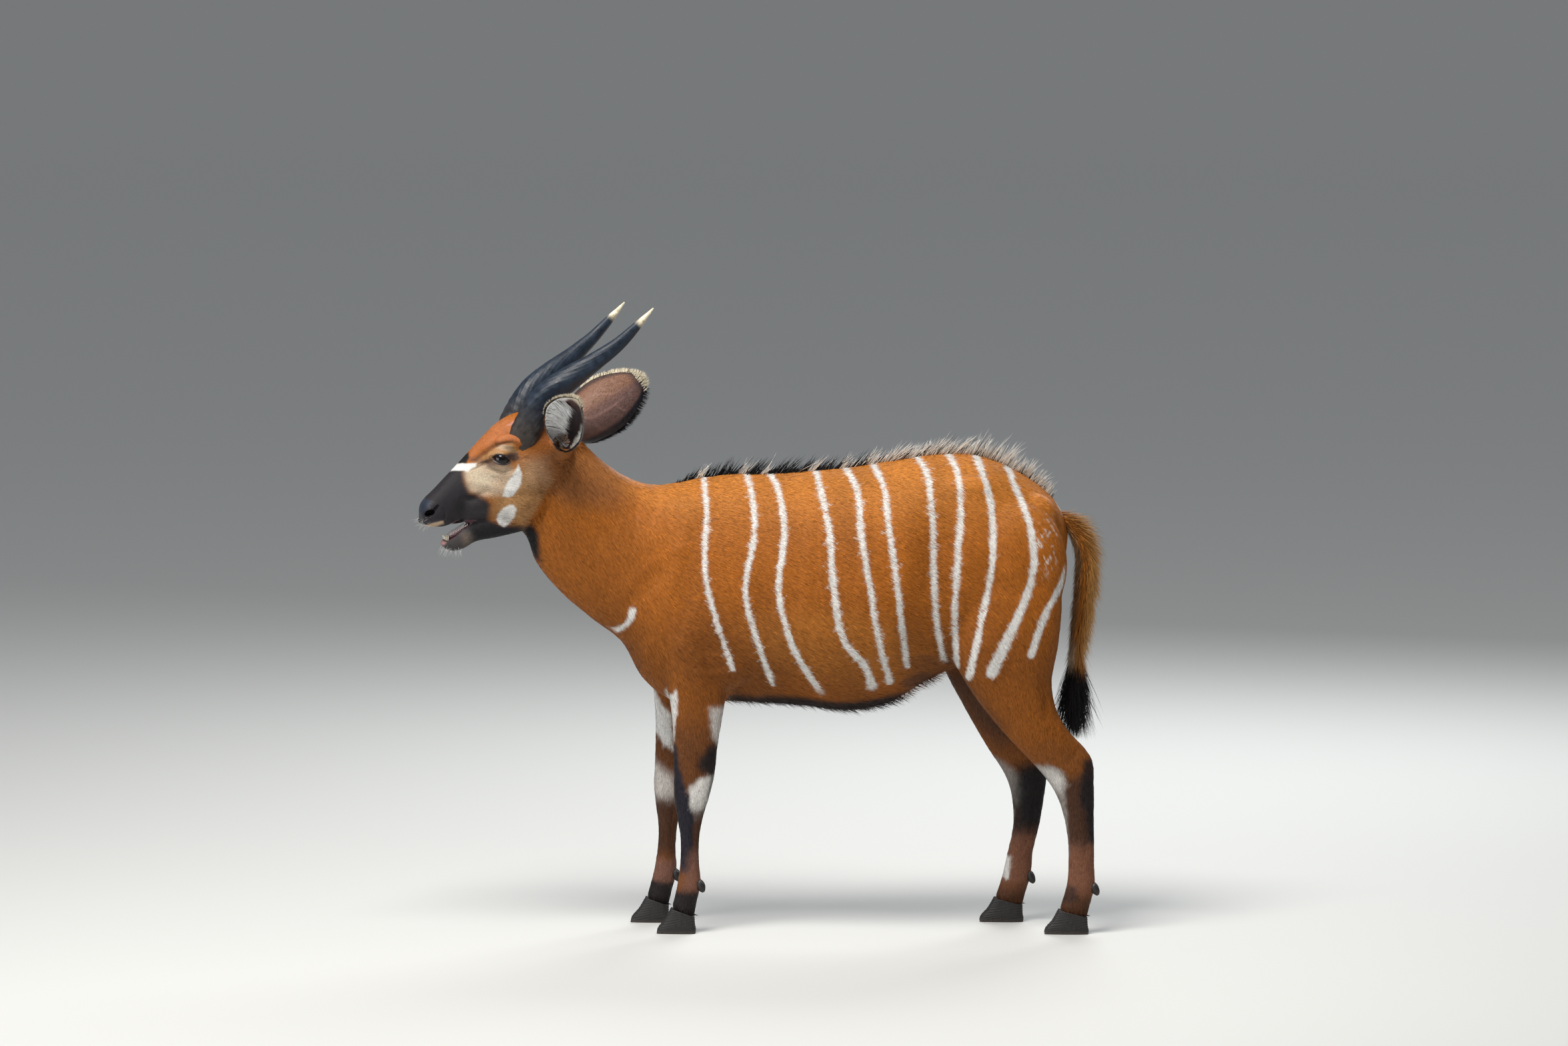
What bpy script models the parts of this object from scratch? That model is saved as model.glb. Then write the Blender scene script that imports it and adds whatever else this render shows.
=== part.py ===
"""A life-size bongo antelope, standing with its head turned a little and its mouth open.

The animal faces -X, its left flank faces -Y and the ground is z = 0. Sizes are in metres.
Rows of the shape tables are in millimetres, as measured along the animal seen from its left side:
a front or top edge (x, z), the opposite rear or bottom edge (x, z), and half the width there.
Left is -Y, so a side of -1 is the left one and a side of 1 the right one.
"""

import math
import random

import bmesh
import bpy
import numpy as np
from mathutils import Matrix, Vector

MM = 0.001
GAP = 0.0003

# Body skin: how finely it is melted together, and how many faces it keeps
BODY_VOXEL = 0.0075
BODY_FACES = 4100
HEAD_VOXEL = 0.003
HEAD_FACES = 2500

TRUNK = [
    (-440, 1170, -580, 950, 52),
    (-417, 1152, -549, 930, 60),
    (-360, 1099, -519, 860, 69),
    (-298, 1057, -463, 789, 82),
    (-236, 1040, -386, 722, 100),
    (-181, 1047, -321, 671, 122),
    (-127, 1058, -271, 584, 142),
    (-65, 1065, -205, 533, 156),
    (5, 1065, -57, 530, 168),
    (98, 1070, 90, 522, 186),
    (214, 1081, 206, 510, 200),
    (322, 1098, 307, 529, 197),
    (415, 1111, 392, 578, 180),
    (508, 1109, 470, 612, 172),
    (601, 1072, 547, 612, 160),
    (668, 1026, 612, 636, 138),
    (706, 978, 668, 705, 104),
    (722, 922, 706, 798, 58),
]
TRUNK_MIDDLE = [-46, -45, -38, -26, -13, -4] + [0] * 12
FORELEG = [
    (-228, 900, -75, 925, 40),
    (-246, 760, -60, 780, 58),
    (-232, 660, -58, 668, 60),
    (-213, 575, -68, 578, 53),
    (-203, 500, -80, 502, 43),
    (-199, 430, -92, 430, 37),
    (-198, 370, -99, 370, 35),
    (-197, 318, -112, 318, 34),
    (-190, 272, -127, 272, 29),
    (-182, 222, -136, 222, 23),
    (-183, 163, -136, 163, 22),
    (-189, 116, -132, 114, 26),
    (-196, 84, -141, 74, 25),
    (-203, 58, -148, 40, 27),
    (-208, 40, -152, 22, 28),
]
HINDLEG = [
    (485, 900, 690, 910, 50),
    (439, 760, 706, 775, 74),
    (442, 660, 697, 668, 74),
    (478, 585, 683, 588, 64),
    (526, 515, 695, 520, 52),
    (580, 452, 726, 470, 42),
    (630, 400, 760, 434, 35),
    (664, 362, 778, 404, 33),
    (690, 322, 780, 350, 32),
    (706, 278, 780, 290, 29),
    (716, 225, 780, 230, 25),
    (718, 158, 781, 156, 23),
    (714, 112, 783, 108, 27),
    (705, 80, 773, 72, 26),
    (697, 56, 764, 40, 28),
    (690, 38, 758, 22, 28),
]
CORONET = {"fore": ((-203, 58), (-148, 40)), "hind": ((697, 56), (764, 40))}
LEG_SIDE = {"fore": 94, "hind": 102}
# How far the right-hand leg stands ahead of the left one, by height
LEAN = {
    "fore": ((0, -64), (300, -50), (560, -40), (900, 0)),
    "hind": (
        (0, -146),
        (110, -143),
        (160, -137),
        (225, -121),
        (290, -110),
        (390, -95),
        (440, -77),
        (500, -56),
        (600, -40),
        (900, 0),
    ),
}
# Muscles and bones that stand out of the trunk: centre x, side y, z, half-sizes, tilt in degrees
MUSCLES = [
    (-98, 96, 800, 78, 60, 150, 18),
    (-75, 112, 660, 95, 44, 90, 0),
    (588, 104, 850, 130, 68, 160, 8),
    (478, 92, 1028, 78, 38, 44, 0),
    (645, 66, 960, 52, 44, 64, 0),
]
NECK_HEAD_CUT = ((-417, 1152), (-549, 930))
NECK_TORSO_CUT = ((-226, 1041), (-356, 700))
# Height of each leg's cut, and the span in x that it crosses
LEG_CUT = {"fore": (505, -320, -20), "hind": (566, 424, 740)}

TAIL = [
    (690, 966, 20),
    (720, 945, 24),
    (744, 915, 26),
    (757, 878, 27),
    (758, 830, 27),
    (751, 750, 25),
    (742, 680, 22),
    (736, 620, 21),
    (735, 570, 20),
    (737, 520, 11),
]
TAIL_FLATNESS = 0.8
# The tuft: rings of locks, each with its height on the tail, its count and the locks' length
TUFT = ((632, 7, 112), (596, 8, 124), (558, 6, 126), (530, 4, 100))
TUFT_LOCK = (18, 7.5)

# Reach of the hair out from the back, by x, and its rake towards the tail in degrees
CREST = ((-194, 14), (-160, 34), (5, 31), (350, 34), (460, 42), (560, 44), (640, 30), (705, 14))
CREST_RAKE = ((-194, 28), (300, 40), (500, 38), (620, 34), (705, 40))
CREST_STEP = 20
CREST_LOCK = (16, 5.5)
CREST_ROOT = 16

HEAD_PIVOT = Vector((-0.445, -0.045, 1.100))
HEAD_TURN = math.radians(20)
UPPER_HEAD = [
    (-801, 996, -800, 974, 14),
    (-797, 1011, -795, 957, 25),
    (-788, 1022, -784, 954, 30),
    (-770, 1038, -763, 953, 33),
    (-738, 1070, -725, 957, 33),
    (-701, 1106, -678, 960, 38),
    (-672, 1135, -636, 962, 47),
    (-643, 1163, -594, 968, 58),
    (-606, 1194, -548, 985, 66),
    (-560, 1213, -505, 1000, 64),
    (-500, 1204, -470, 1008, 58),
    (-450, 1172, -440, 1025, 50),
    (-410, 1135, -415, 1045, 44),
]
JAW = [
    (-752, 917, -750, 909, 8),
    (-744, 925, -739, 900, 15),
    (-731, 934, -722, 895, 18),
    (-712, 947, -698, 899, 20),
    (-690, 959, -669, 914, 23),
    (-651, 977, -623, 921, 32),
    (-602, 1000, -577, 929, 41),
    (-552, 1020, -545, 937, 45),
    (-508, 1038, -514, 951, 40),
]
# Forms of the head: centre x, side y, z, then half-sizes
FACE_FORMS = [
    (-566, 36, 1015, 66, 26, 56),
    (-618, 45, 1111, 38, 21, 30),
    (-588, 44, 1146, 46, 22, 22),
    (-546, 45, 1172, 38, 28, 26),
    (-474, 48, 1132, 34, 27, 36),
    (-784, 0, 990, 18, 32, 27),
    (-764, 19, 967, 38, 14, 14),
]
JAW_CUT = ((-715, 954.5), (-535, 930.5))

EYE_CENTRE = Vector((-0.620, 0.0485, 1.110))
EYE_RADIUS = 0.0215
EYE_FORWARD = math.radians(14)
LID = 0.0036
# Half-angles that the lids leave open, across and upright, and the slope of the slit
LID_OPENING = (math.radians(60), math.radians(37))
LID_SLOPE = 0.16
NOSTRIL = Vector((-0.784, 0.0255, 0.989))
NOSTRIL_SIZE = (0.011, 0.009, 0.0065)
NOSTRIL_SLANT = math.radians(-30)

# Lower front teeth: the radius and spread of their arc, its centre, and a blade's half-sizes
TOOTH_COUNT = 8
TOOTH_ARC = (0.0112, math.radians(135))
TOOTH_CENTRE = Vector((-0.7315, 0.0, 0.9265))
TOOTH_SIZE = (0.0019, 0.0016, 0.0080)
TOOTH_SLANT = math.radians(-24)

HORN_PATH = [
    (-552, 44, 1158),
    (-538, 48, 1206),
    (-511, 56, 1252),
    (-459, 68, 1293),
    (-402, 82, 1332),
    (-348, 94, 1373),
    (-306, 100, 1413),
    (-266, 103, 1453),
]
HORN_RADII = (36, 35, 33, 29, 21.5, 15, 9.5, 1.6)
HORN_FLATNESS = 0.74
HORN_KEEL = 0.16
HORN_TWIST = math.radians(200)

# Each ear: root and tip in the head's frame, the way its cup opens, its length of arc and curl
EARS = {
    "left": {
        "root": (-466, -46, 1138),
        "tip": (-500, -246, 1257),
        "opens": (-0.84, -0.28, -0.48),
        "curl": 1.15,
    },
    "right": {
        "root": (-466, 46, 1138),
        "tip": (-238, 50, 1279),
        "opens": (0.35, 0.93, -0.1),
        "curl": 0.75,
    },
}
EAR_SPREAD = ((0.0, 34), (0.15, 50), (0.35, 70), (0.6, 73), (0.8, 54), (0.93, 28), (1.0, 6))
EAR_CURL = ((0.0, 168), (0.15, 140), (0.35, 88), (0.6, 66), (0.85, 48), (1.0, 30))
EAR_WALL = ((0.0, 9.0), (0.2, 6.5), (0.6, 4.0), (1.0, 2.6))

CLAW_OUT = 15.8
DEWCLAW = (9, 8, 15)

# Colour and roughness of each kind of node
FINISHES = {
    "head": ((0.36, 0.13, 0.05), 0.6),
    "jaw": ((0.25, 0.13, 0.08), 0.6),
    "neck": ((0.40, 0.14, 0.05), 0.6),
    "torso": ((0.52, 0.17, 0.04), 0.6),
    "tail": ((0.45, 0.17, 0.06), 0.7),
    "foreleg": ((0.35, 0.18, 0.10), 0.6),
    "hindleg": ((0.40, 0.18, 0.09), 0.6),
    "ear": ((0.42, 0.20, 0.12), 0.7),
    "horn": ((0.06, 0.055, 0.05), 0.4),
    "eye": ((0.01, 0.008, 0.006), 0.1),
    "claw": ((0.05, 0.045, 0.04), 0.4),
    "dewclaw": ((0.05, 0.045, 0.04), 0.4),
}


def material(name, colour, roughness, metallic=0.0):
    """A plain finish."""
    finish = bpy.data.materials.new(name)
    finish.use_nodes = True
    shader = finish.node_tree.nodes["Principled BSDF"]
    shader.inputs["Base Color"].default_value = (*colour, 1.0)
    shader.inputs["Roughness"].default_value = roughness
    shader.inputs["Metallic"].default_value = metallic
    finish.diffuse_color = (*colour, 1.0)
    return finish


def linked(name, mesh):
    """A new object that shows a mesh."""
    thing = bpy.data.objects.new(name, mesh)
    bpy.context.scene.collection.objects.link(thing)
    return thing


def mesh_object(name, points, faces):
    """An object of these points and faces, turned so that its faces point outwards."""
    mesh = bpy.data.meshes.new(name)
    mesh.from_pydata(np.asarray(points, float).tolist(), [], faces)
    shape = bmesh.new()
    shape.from_mesh(mesh)
    bmesh.ops.triangulate(shape, faces=shape.faces)
    bmesh.ops.recalc_face_normals(shape, faces=shape.faces)
    if shape.calc_volume(signed=True) < 0:
        bmesh.ops.reverse_faces(shape, faces=shape.faces)
    shape.to_mesh(mesh)
    shape.free()
    return linked(name, mesh)


def tube_faces(rings, sides):
    """Quads between successive rings of points, with a fan to a centre point at each end."""
    faces = []
    for r in range(rings - 1):
        for s in range(sides):
            n = (s + 1) % sides
            low, high = r * sides, (r + 1) * sides
            faces.append((low + s, low + n, high + n, high + s))
    first, last = rings * sides, rings * sides + 1
    for s in range(sides):
        n = (s + 1) % sides
        faces.append((first, n, s))
        faces.append((last, (rings - 1) * sides + s, (rings - 1) * sides + n))
    return faces


def curve_through(rows, count):
    """A smooth curve through the rows of a table, read at evenly spaced places along it."""
    rows = np.asarray(rows, float)
    run = np.linalg.norm(np.diff(rows, axis=0), axis=1)
    at = np.concatenate([[0.0], np.cumsum(run)])
    slope = np.diff(rows, axis=0) / run[:, None]
    share = (run[1:] / (run[1:] + run[:-1]))[:, None]
    tangent = np.vstack([slope[:1], slope[:-1] * share + slope[1:] * (1 - share), slope[-1:]])
    read = np.linspace(0.0, at[-1], count)
    k = np.clip(np.searchsorted(at, read, side="right") - 1, 0, len(run) - 1)
    t = ((read - at[k]) / run[k])[:, None]
    h = run[k][:, None]
    return (
        rows[k] * (1 + 2 * t) * (1 - t) ** 2
        + tangent[k] * h * t * (1 - t) ** 2
        + rows[k + 1] * t**2 * (3 - 2 * t)
        + tangent[k + 1] * h * t**2 * (t - 1)
    )


def loft(name, rows, rings, sides, roundness=2.2, low=0.0, middle=None):
    """A body through the rows of a shape table. Each ring is a superellipse between its two edges.
    A low above 0 makes the lower or rear half wider, and middle gives each row's own centre in y."""
    table = np.asarray(rows, float)
    centre = np.zeros(len(table)) if middle is None else np.asarray(middle, float)
    table = curve_through(np.column_stack([table, centre]), rings) * MM
    angle = np.linspace(0.0, 2 * np.pi, sides, endpoint=False)
    up, out = np.cos(angle), np.sin(angle)
    up = np.sign(up) * np.abs(up) ** (2 / roundness)
    out = np.sign(out) * np.abs(out) ** (2 / roundness)
    ax, az, bx, bz, half, mid = (table[:, i : i + 1] for i in range(6))
    x = (ax + bx) / 2 + (ax - bx) / 2 * up
    z = (az + bz) / 2 + (az - bz) / 2 * up
    y = mid + half * out * (1 - low * up)
    points = np.stack([x, y, z], axis=2).reshape(-1, 3)
    ends = [points[:sides].mean(axis=0), points[-sides:].mean(axis=0)]
    return mesh_object(name, np.vstack([points, ends]), tube_faces(rings, sides))


def pipe(name, path, radii, sides, flatness=1.0, keel=0.0, twist=0.0):
    """A tapered tube along a path in metres. Its section is flattened in y, and may have one
    raised keel that winds round it by the twist."""
    path, radii = np.asarray(path, float), np.asarray(radii, float)
    along = np.gradient(path, axis=0)
    along /= np.linalg.norm(along, axis=1)[:, None]
    ahead = np.cross(along, (0.0, 1.0, 0.0))
    ahead /= np.linalg.norm(ahead, axis=1)[:, None]
    aside = np.cross(ahead, along)
    angle = np.linspace(0.0, 2 * np.pi, sides, endpoint=False)[None, :]
    turn = twist * np.linspace(0.0, 1.0, len(path))[:, None]
    off = (angle - turn + np.pi) % (2 * np.pi) - np.pi
    reach = radii[:, None] * (1 + keel * np.exp(-((off / 0.45) ** 2)))
    forward = (reach * np.cos(angle))[:, :, None] * ahead[:, None]
    sideways = (reach * flatness * np.sin(angle))[:, :, None] * aside[:, None]
    points = (path[:, None] + forward + sideways).reshape(-1, 3)
    faces = tube_faces(len(path), sides)
    return mesh_object(name, np.vstack([points, path[:1], path[-1:]]), faces)


def ball(name, centre, radii, turn=None, segments=24):
    """An ellipsoid with three half-sizes, turned by a matrix."""
    shape = bmesh.new()
    bmesh.ops.create_uvsphere(shape, u_segments=segments, v_segments=segments // 2, radius=1.0)
    place = Matrix.Translation(centre) @ (turn or Matrix.Identity(4))
    place = place @ Matrix.Diagonal((*radii, 1.0))
    bmesh.ops.transform(shape, matrix=place, verts=shape.verts)
    bmesh.ops.triangulate(shape, faces=shape.faces)
    mesh = bpy.data.meshes.new(name)
    shape.to_mesh(mesh)
    shape.free()
    return linked(name, mesh)


def slab(front, rear, width):
    """A thin box, GAP thick, that parts one body from another from a front edge to a rear edge,
    both given as (x, z) in millimetres."""
    start, end = (Vector((x * MM, 0.0, z * MM)) for x, z in (front, rear))
    run = end - start
    shape = bmesh.new()
    bmesh.ops.create_cube(shape, size=1.0)
    place = (
        Matrix.Translation((start + end) / 2)
        @ Matrix.Rotation(-math.atan2(run.z, run.x), 4, "Y")
        @ Matrix.Diagonal((run.length, width * MM, GAP, 1.0))
    )
    bmesh.ops.transform(shape, matrix=place, verts=shape.verts)
    bmesh.ops.triangulate(shape, faces=shape.faces)
    mesh = bpy.data.meshes.new("slab")
    shape.to_mesh(mesh)
    shape.free()
    return linked("slab", mesh)


def baked(thing):
    """Puts an object's modifiers into its own mesh."""
    graph = bpy.context.evaluated_depsgraph_get()
    mesh = bpy.data.meshes.new_from_object(thing.evaluated_get(graph))
    thing.modifiers.clear()
    thing.data = mesh
    return thing


def joined(name, things):
    """One object that holds the meshes of several, which are removed."""
    shape = bmesh.new()
    for thing in things:
        shape.from_mesh(thing.data)
        bpy.data.objects.remove(thing)
    mesh = bpy.data.meshes.new(name)
    shape.to_mesh(mesh)
    shape.free()
    return linked(name, mesh)


def copied(thing, name):
    """A second object with a mesh of its own."""
    return linked(name, thing.data.copy())


def surfaces(shape):
    """The separate closed surfaces of a bmesh, as sets of its vertices, smallest first."""
    left = set(shape.verts)
    groups = []
    while left:
        stack = [left.pop()]
        group = set(stack)
        while stack:
            for edge in stack.pop().link_edges:
                for vert in edge.verts:
                    if vert in left:
                        left.discard(vert)
                        group.add(vert)
                        stack.append(vert)
        groups.append(group)
    return sorted(groups, key=len)


def largest(thing):
    """Keeps only the biggest closed surface of a mesh."""
    shape = bmesh.new()
    shape.from_mesh(thing.data)
    bmesh.ops.triangulate(shape, faces=shape.faces)
    for group in surfaces(shape)[:-1]:
        bmesh.ops.delete(shape, geom=list(group), context="VERTS")
    shape.to_mesh(thing.data)
    shape.free()
    return thing


def separated(thing, count):
    """New objects for this many of the largest closed surfaces of a mesh, which is removed."""
    shape = bmesh.new()
    shape.from_mesh(thing.data)
    found = []
    for group in surfaces(shape)[-count:]:
        order = {vert: i for i, vert in enumerate(group)}
        faces = {face for vert in group for face in vert.link_faces}
        corners = [tuple(order[vert] for vert in face.verts) for face in faces]
        found.append(mesh_object("piece", [vert.co[:] for vert in order], corners))
    shape.free()
    bpy.data.objects.remove(thing)
    return found


def combined(thing, other, operation, keep_all=False):
    """Cuts another closed object out of this one, or joins a collection's objects to it."""
    change = thing.modifiers.new("change", "BOOLEAN")
    change.operation = operation
    change.solver = "MANIFOLD"
    if isinstance(other, bpy.types.Collection):
        change.operand_type = "COLLECTION"
        change.collection = other
        used = list(other.objects)
    else:
        change.object = other
        used = [other]
    baked(thing)
    for piece in used:
        bpy.data.objects.remove(piece)
    return thing if keep_all else largest(thing)


def cut_in_two(thing, point, normal):
    """Keeps the side of a closed mesh that the normal points to, and closes the cut."""
    shape = bmesh.new()
    shape.from_mesh(thing.data)
    geometry = list(shape.verts) + list(shape.edges) + list(shape.faces)
    bmesh.ops.bisect_plane(
        shape, geom=geometry, dist=1e-7, plane_co=point, plane_no=normal, clear_inner=True
    )
    bmesh.ops.holes_fill(shape, edges=[e for e in shape.edges if e.is_boundary], sides=0)
    bmesh.ops.triangulate(shape, faces=shape.faces)
    bmesh.ops.recalc_face_normals(shape, faces=shape.faces)
    shape.to_mesh(thing.data)
    shape.free()
    return largest(thing)


def kept_beyond(thing, line, ahead):
    """Keeps what lies ahead of (towards -X), or behind, a line seen from the side, with half
    of the gap taken off."""
    (ax, az), (bx, bz) = line
    point = Vector((ax * MM, 0.0, az * MM))
    normal = Vector((-(az - bz), 0.0, ax - bx)).normalized()
    if (normal.x < 0) != ahead:
        normal.negate()
    return cut_in_two(thing, point + normal * GAP / 2, normal)


def kept_above(thing, line):
    """Keeps what lies above a line seen from the side."""
    (ax, az), (bx, bz) = line
    normal = Vector((-(az - bz), 0.0, ax - bx)).normalized()
    if normal.z < 0:
        normal.negate()
    return cut_in_two(thing, Vector((ax * MM, 0.0, az * MM)), normal)


def skinned(thing, voxel, passes, faces):
    """Melts overlapping bodies into one skin, smooths it, and thins it to about this many faces."""
    melt = thing.modifiers.new("melt", "REMESH")
    melt.mode = "VOXEL"
    melt.voxel_size = voxel
    soften = thing.modifiers.new("soften", "SMOOTH")
    soften.factor = 0.5
    soften.iterations = passes
    baked(thing)
    largest(thing)
    thin = thing.modifiers.new("thin", "DECIMATE")
    thin.ratio = min(1.0, faces / len(thing.data.polygons))
    baked(thing)
    return largest(thing)


def trimmed(thing, neighbour):
    """Cuts a neighbour, grown by the gap, out of an object, so that it sits on it face to face."""
    cutter = copied(neighbour, "cutter")
    push = cutter.modifiers.new("push", "DISPLACE")
    push.strength = GAP
    push.mid_level = 0.0
    return combined(thing, baked(cutter), "DIFFERENCE")


def head_place(side=1):
    """The matrix that turns a form of the level head to the left, mirrored first for a side."""
    return (
        Matrix.Translation(HEAD_PIVOT)
        @ Matrix.Rotation(HEAD_TURN, 4, "Z")
        @ Matrix.Translation((-HEAD_PIVOT.x, 0.0, -HEAD_PIVOT.z))
        @ Matrix.Diagonal((1.0, side, 1.0, 1.0))
    )


def on_head(thing, side=1):
    """Moves a form from the level head's frame to its place."""
    thing.data.transform(head_place(side))
    if side < 0:
        thing.data.flip_normals()
    return thing


def leg_rows(rows, pair, side):
    """A leg's rows, moved ahead for the right-hand one."""
    if side < 0:
        return rows
    heights, moves = zip(*LEAN[pair])
    shifted = []
    for ax, az, bx, bz, width in rows:
        front = ax + np.interp(az, heights, moves)
        rear = bx + np.interp(bz, heights, moves)
        shifted.append((front, az, rear, bz, width))
    return shifted


def trunk_forms():
    """The trunk with the neck, its muscles, and the four legs."""
    forms = [loft("trunk", TRUNK, 120, 56, roundness=2.15, low=0.1, middle=TRUNK_MIDDLE)]
    for side in (-1, 1):
        for x, y, z, rx, ry, rz, tilt in MUSCLES:
            turn = Matrix.Rotation(math.radians(tilt), 4, "Y")
            centre = Vector((x, side * y, z)) * MM
            forms.append(ball("muscle", centre, (rx * MM, ry * MM, rz * MM), turn))
        for pair, rows in (("fore", FORELEG), ("hind", HINDLEG)):
            middle = [side * LEG_SIDE[pair]] * len(rows)
            rows = leg_rows(rows, pair, side)
            forms.append(loft("leg", rows, 110, 28, roundness=2.3, middle=middle))
    return forms


def head_forms():
    """The skull, muzzle and jaw with the cheeks, brows, lips and the roots of horns and ears."""
    forms = [on_head(loft("skull", UPPER_HEAD, 80, 40, roundness=2.4, low=0.1))]
    forms.append(on_head(loft("jaw", JAW, 60, 30, roundness=2.3)))
    for x, y, z, rx, ry, rz in FACE_FORMS:
        for side in (-1, 1):
            form = ball("form", Vector((x, y, z)) * MM, (rx * MM, ry * MM, rz * MM))
            forms.append(on_head(form, side))
    for side in (-1, 1):
        radius = EYE_RADIUS + LID
        forms.append(on_head(ball("lids", EYE_CENTRE, (radius, radius, radius)), side))
    return forms


def lid_cutter(side):
    """The eye's socket and the almond opening between its lids, as one cone from the eye."""
    wide, tall = (math.tan(half) for half in LID_OPENING)
    sides = 16
    angle = np.linspace(0.0, 2 * np.pi, sides, endpoint=False)
    reach = np.array([0.3, 1.0, 1.6])[:, None] * EYE_RADIUS
    across = np.cos(angle) * wide * reach
    upright = np.sin(angle) * tall * (1 - 0.35 * np.cos(angle) ** 2) * reach
    upright = upright - across * LID_SLOPE
    points = np.stack([across, np.broadcast_to(reach, across.shape), upright], axis=2)
    ends = [(0.0, reach[0, 0], 0.0), (0.0, reach[-1, 0], 0.0)]
    cone = mesh_object("opening", np.vstack([points.reshape(-1, 3), ends]), tube_faces(3, sides))
    turn = Matrix.Rotation(EYE_FORWARD, 4, "Z")
    cone.data.transform(Matrix.Translation(EYE_CENTRE) @ turn)
    radius = EYE_RADIUS + GAP
    socket = ball("socket", EYE_CENTRE, (radius, radius, radius), segments=18)
    return on_head(combined(socket, cone, "UNION"), side)


def ear_form(name):
    """An ear as a cupped leaf with a wall: a spine from root to tip, and across it an arc whose
    length and curl follow the tables. The cup opens to one side."""
    shape = EARS[name]
    root, tip = (Vector(shape[end]) * MM for end in ("root", "tip"))
    along = (tip - root).normalized()
    opens = Vector(shape["opens"])
    opens = (opens - along * opens.dot(along)).normalized()
    across = along.cross(opens)
    rings, columns = 12, 9
    u = np.linspace(0.0, 1.0, rings)[:, None]
    v = np.linspace(-1.0, 1.0, columns)[None, :]
    spread = np.interp(u, *zip(*EAR_SPREAD)) * MM
    curl = np.radians(np.interp(u, *zip(*EAR_CURL))) * shape["curl"]
    wall = np.interp(u, *zip(*EAR_WALL)) * MM
    bend = spread / curl
    bow = 0.012 * np.sin(np.pi * u)
    layers = []
    for depth in (wall, 0.0 * wall):
        radius = bend + depth
        inward = bend - radius * np.cos(v * curl) - bow
        sideways = radius * np.sin(v * curl)
        place = (
            np.array(root)
            + u[:, :, None] * np.array(tip - root)
            + inward[:, :, None] * np.array(opens)
            + sideways[:, :, None] * np.array(across)
        )
        layers.append(place.reshape(-1, 3))
    faces = shell_faces(rings, columns)
    return on_head(mesh_object(f"{name}_ear", np.vstack(layers), faces))


def shell_faces(rings, columns):
    """Triangles of two like grids of points, outer and inner, and of the rim between them."""
    faces = []
    layer = rings * columns
    for r in range(rings - 1):
        for c in range(columns - 1):
            a, b = r * columns + c, r * columns + c + 1
            d, e = a + columns, b + columns
            for shift in (0, layer):
                faces += [(a + shift, b + shift, e + shift), (a + shift, e + shift, d + shift)]
    rim = [c for c in range(columns)]
    rim += [r * columns + columns - 1 for r in range(1, rings)]
    rim += [(rings - 1) * columns + c for c in range(columns - 2, -1, -1)]
    rim += [r * columns for r in range(rings - 2, 0, -1)]
    for a, b in zip(rim, rim[1:] + rim[:1]):
        faces.append((a, b, b + layer, a + layer))
    return faces


def horn_form(side):
    """A horn that leans back in an open spiral, with one keel winding up it."""
    rings = 17
    path = curve_through(HORN_PATH, rings) * MM
    at = np.linspace(0.0, 1.0, len(HORN_RADII))
    radii = np.interp(np.linspace(0.0, 1.0, rings), at, HORN_RADII) * MM
    horn = pipe("horn", path, radii, 12, HORN_FLATNESS, HORN_KEEL, HORN_TWIST)
    return on_head(horn, side)


def lock_form(root, lie, face, length, width, thickness, droop=0.0):
    """A flat tapered lock: from its root along its lie, bending by a droop, with its flat side
    towards the face direction. Its section is a diamond that thins to the tip."""
    lie, face = Vector(lie).normalized(), Vector(face)
    across = lie.cross(face).normalized()
    face = across.cross(lie).normalized()
    u = np.array([0.0, 0.4, 0.75, 1.0])[:, None]
    middle = np.array(root) + u * length * np.array(lie)
    middle = middle + u**2 * droop * length * np.array(face)
    wide = width * np.array([0.8, 1.0, 0.65, 0.1])[:, None]
    thick = thickness * np.array([1.0, 0.9, 0.5, 0.12])[:, None]
    corners = (
        middle + wide * np.array(across),
        middle + thick * np.array(face),
        middle - wide * np.array(across),
        middle - thick * np.array(face),
    )
    points = np.stack(corners, axis=1).reshape(-1, 3)
    return mesh_object("lock", np.vstack([points, middle[:1], middle[-1:]]), tube_faces(4, 4))


def fused(thing, locks):
    """Joins locks to the node that they grow from."""
    pool = bpy.data.collections.new("locks")
    for lock in locks:
        for home in list(lock.users_collection):
            home.objects.unlink(lock)
        pool.objects.link(lock)
    combined(thing, pool, "UNION")
    bpy.data.collections.remove(pool)
    return thing


def tail_form():
    """The tail with its tuft: rings of locks that hang over one another."""
    table = curve_through(TAIL, 20) * MM
    path = np.column_stack([table[:, 0], np.zeros(len(table)), table[:, 1]])
    tail = pipe("tail", path, table[:, 2], 10, flatness=TAIL_FLATNESS)
    draw = random.Random(7)
    heights, middles, radii = table[::-1, 1], table[::-1, 0], table[::-1, 2]
    locks = []
    for height, count, length in TUFT:
        radius = float(np.interp(height * MM, heights, radii)) * 0.6
        for i in range(count):
            turn = 2 * math.pi * (i + draw.uniform(0.2, 0.8)) / count
            out = Vector((math.cos(turn), math.sin(turn) * TAIL_FLATNESS, 0.0))
            root = Vector((float(np.interp(height * MM, heights, middles)), 0.0, height * MM))
            root += out * radius + Vector((0.0, 0.0, draw.uniform(-6, 6) * MM))
            lie = Vector((0.0, 0.0, -1.0)) + Vector((out.x * 0.38, out.y * 0.14, 0.0))
            size = length * MM * draw.uniform(0.88, 1.1)
            width, thickness = (w * MM for w in TUFT_LOCK)
            locks.append(lock_form(root, lie, out, size, width, thickness, droop=-0.16))
    return fused(tail, locks)


def back_height(x):
    """The height of the trunk's top line at x, both in millimetres."""
    tops = [(row[0], row[1]) for row in TRUNK]
    return float(np.interp(x, *zip(*tops)))


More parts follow.
